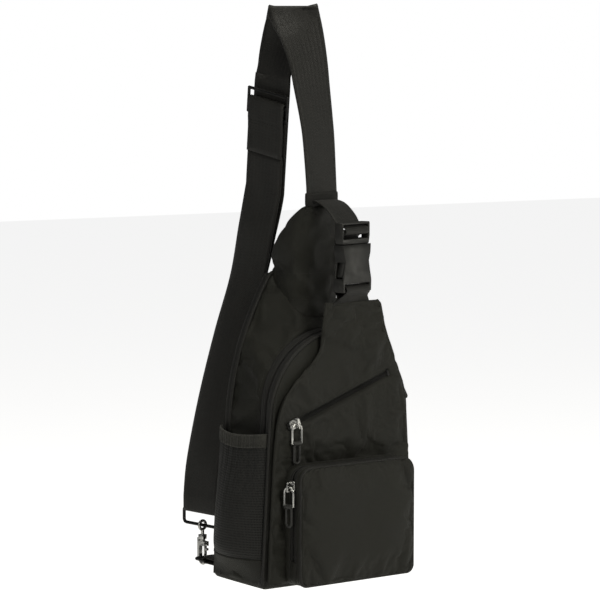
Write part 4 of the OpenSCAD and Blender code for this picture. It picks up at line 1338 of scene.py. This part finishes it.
# ---------- build ----------
make_shoulder_strap()
make_strap_loop()
make_anchor()
make_yoke_webbing()
make_overlay_webbing()
yoke = make_yoke()
gusset = make_gusset()
overlay = make_overlay()
pocket_face = make_pocket_face()
back_pad = make_back_pad()
relax_all()
finish_back_pad(back_pad)
finish_yoke(yoke)
add_subdivision(yoke)
settle(yoke, "bag", "shell", "yoke")
settle(add_thickness(gusset, 1.2), "bag", "shell", "rear_gusset")
settle(add_thickness(overlay, 1.4), "bag", "shell", "front_overlay")
settle(add_thickness(pocket_face, 1.2), "bag", "shell", "pocket_face")
settle(back_pad, "bag", "back_mesh", "back_cover")
make_main_zip()
make_seams()
make_front_panel()
make_diagonal_zip()
make_pocket()
make_side_pocket(-1, "left")
make_side_pocket(1, "right")
make_base()
make_hardware()
make_corner_tab()
finish_inner()


# ---------- studio ----------
def aim(obj, place, target):
    obj.location = place
    direction = Vector(target) - Vector(place)
    obj.rotation_mode = "QUATERNION"
    obj.rotation_quaternion = direction.to_track_quat("-Z", "Y")


def softbox(name, place, target, size, watts, height=None):
    data = bpy.data.lights.new(name, "AREA")
    data.energy = watts
    data.color = (1.0, 0.975, 0.87)
    data.shape = "RECTANGLE"
    data.size = size
    data.size_y = height or size
    lamp = bpy.data.objects.new(name, data)
    bpy.context.scene.collection.objects.link(lamp)
    aim(lamp, place, target)
    return lamp


def make_world():
    """White behind the bag, and dimmer as light on it, so that dark cloth keeps its shape."""
    world = bpy.data.worlds.new("studio")
    bpy.context.scene.world = world
    world.use_nodes = True
    tree = world.node_tree
    path = tree.nodes.new("ShaderNodeLightPath")
    light = path.outputs["Is Camera Ray"]
    for ray, strength in (("Is Diffuse Ray", WORLD_LIGHT), ("Is Glossy Ray", WORLD_SHINE)):
        share = tree.nodes.new("ShaderNodeMath")
        share.operation = "MULTIPLY_ADD"
        tree.links.new(path.outputs[ray], share.inputs[0])
        share.inputs[1].default_value = strength
        tree.links.new(light, share.inputs[2])
        light = share.outputs[0]
    tree.links.new(light, tree.nodes["Background"].inputs["Strength"])
    tree.nodes["Background"].inputs["Color"].default_value = (1, 1, 1, 1)


def make_studio():
    """Wide pale floor well below the hanging bag, and soft light from four sides."""
    far = 9000
    paint = Shader("floor_paint", (0.95, 0.95, 0.95), 0.95, Specular_IOR_Level=0.0)
    seen = paint.node("ShaderNodeLightPath", out="Is Camera Ray")
    paint.set(paint.bsdf, "Emission Color", (1, 1, 1, 1))
    paint.set(paint.bsdf, "Emission Strength", paint.times(seen, 0.7))
    corners = [(x * far, y * far, FLOOR_Z) for x, y in ((-1, -1), (1, -1), (1, 1), (-1, 1))]
    floor = link("studio_floor", corners, [(0, 1, 2, 3)], paint.mat, False)
    make_world()
    middle = (0, 0, 0.27)
    softbox("key_light", (-0.1, -2.1, 1.5), middle, 0.8, 28, 1.1)
    softbox("side_light", (-2.1, -0.5, 1.0), middle, 0.35, 6, 1.2)
    softbox("fill_light", (1.9, -1.0, 0.5), middle, 0.7, 7, 1.2)
    softbox("top_light", (0.1, 0.1, 2.2), middle, 0.9, 16)


def make_camera():
    """Front-left, a little above the bag's middle, through a long lens."""
    data = bpy.data.cameras.new("photo_camera")
    data.sensor_width = 36
    data.lens = 151.7
    data.clip_start = 0.1
    data.clip_end = 60
    camera = bpy.data.objects.new("photo_camera", data)
    bpy.context.scene.collection.objects.link(camera)
    target = Vector((-0.0086, 0.0063, 0.265))
    azimuth, elevation, distance = radians(-36), radians(5.2), 2.45
    back = Vector((sin(azimuth) * cos(elevation), -cos(azimuth) * cos(elevation),
                   sin(elevation)))
    aim(camera, target + back * distance, target)
    bpy.context.scene.camera = camera


make_studio()
make_camera()
bpy.context.scene.view_settings.view_transform = "Standard"
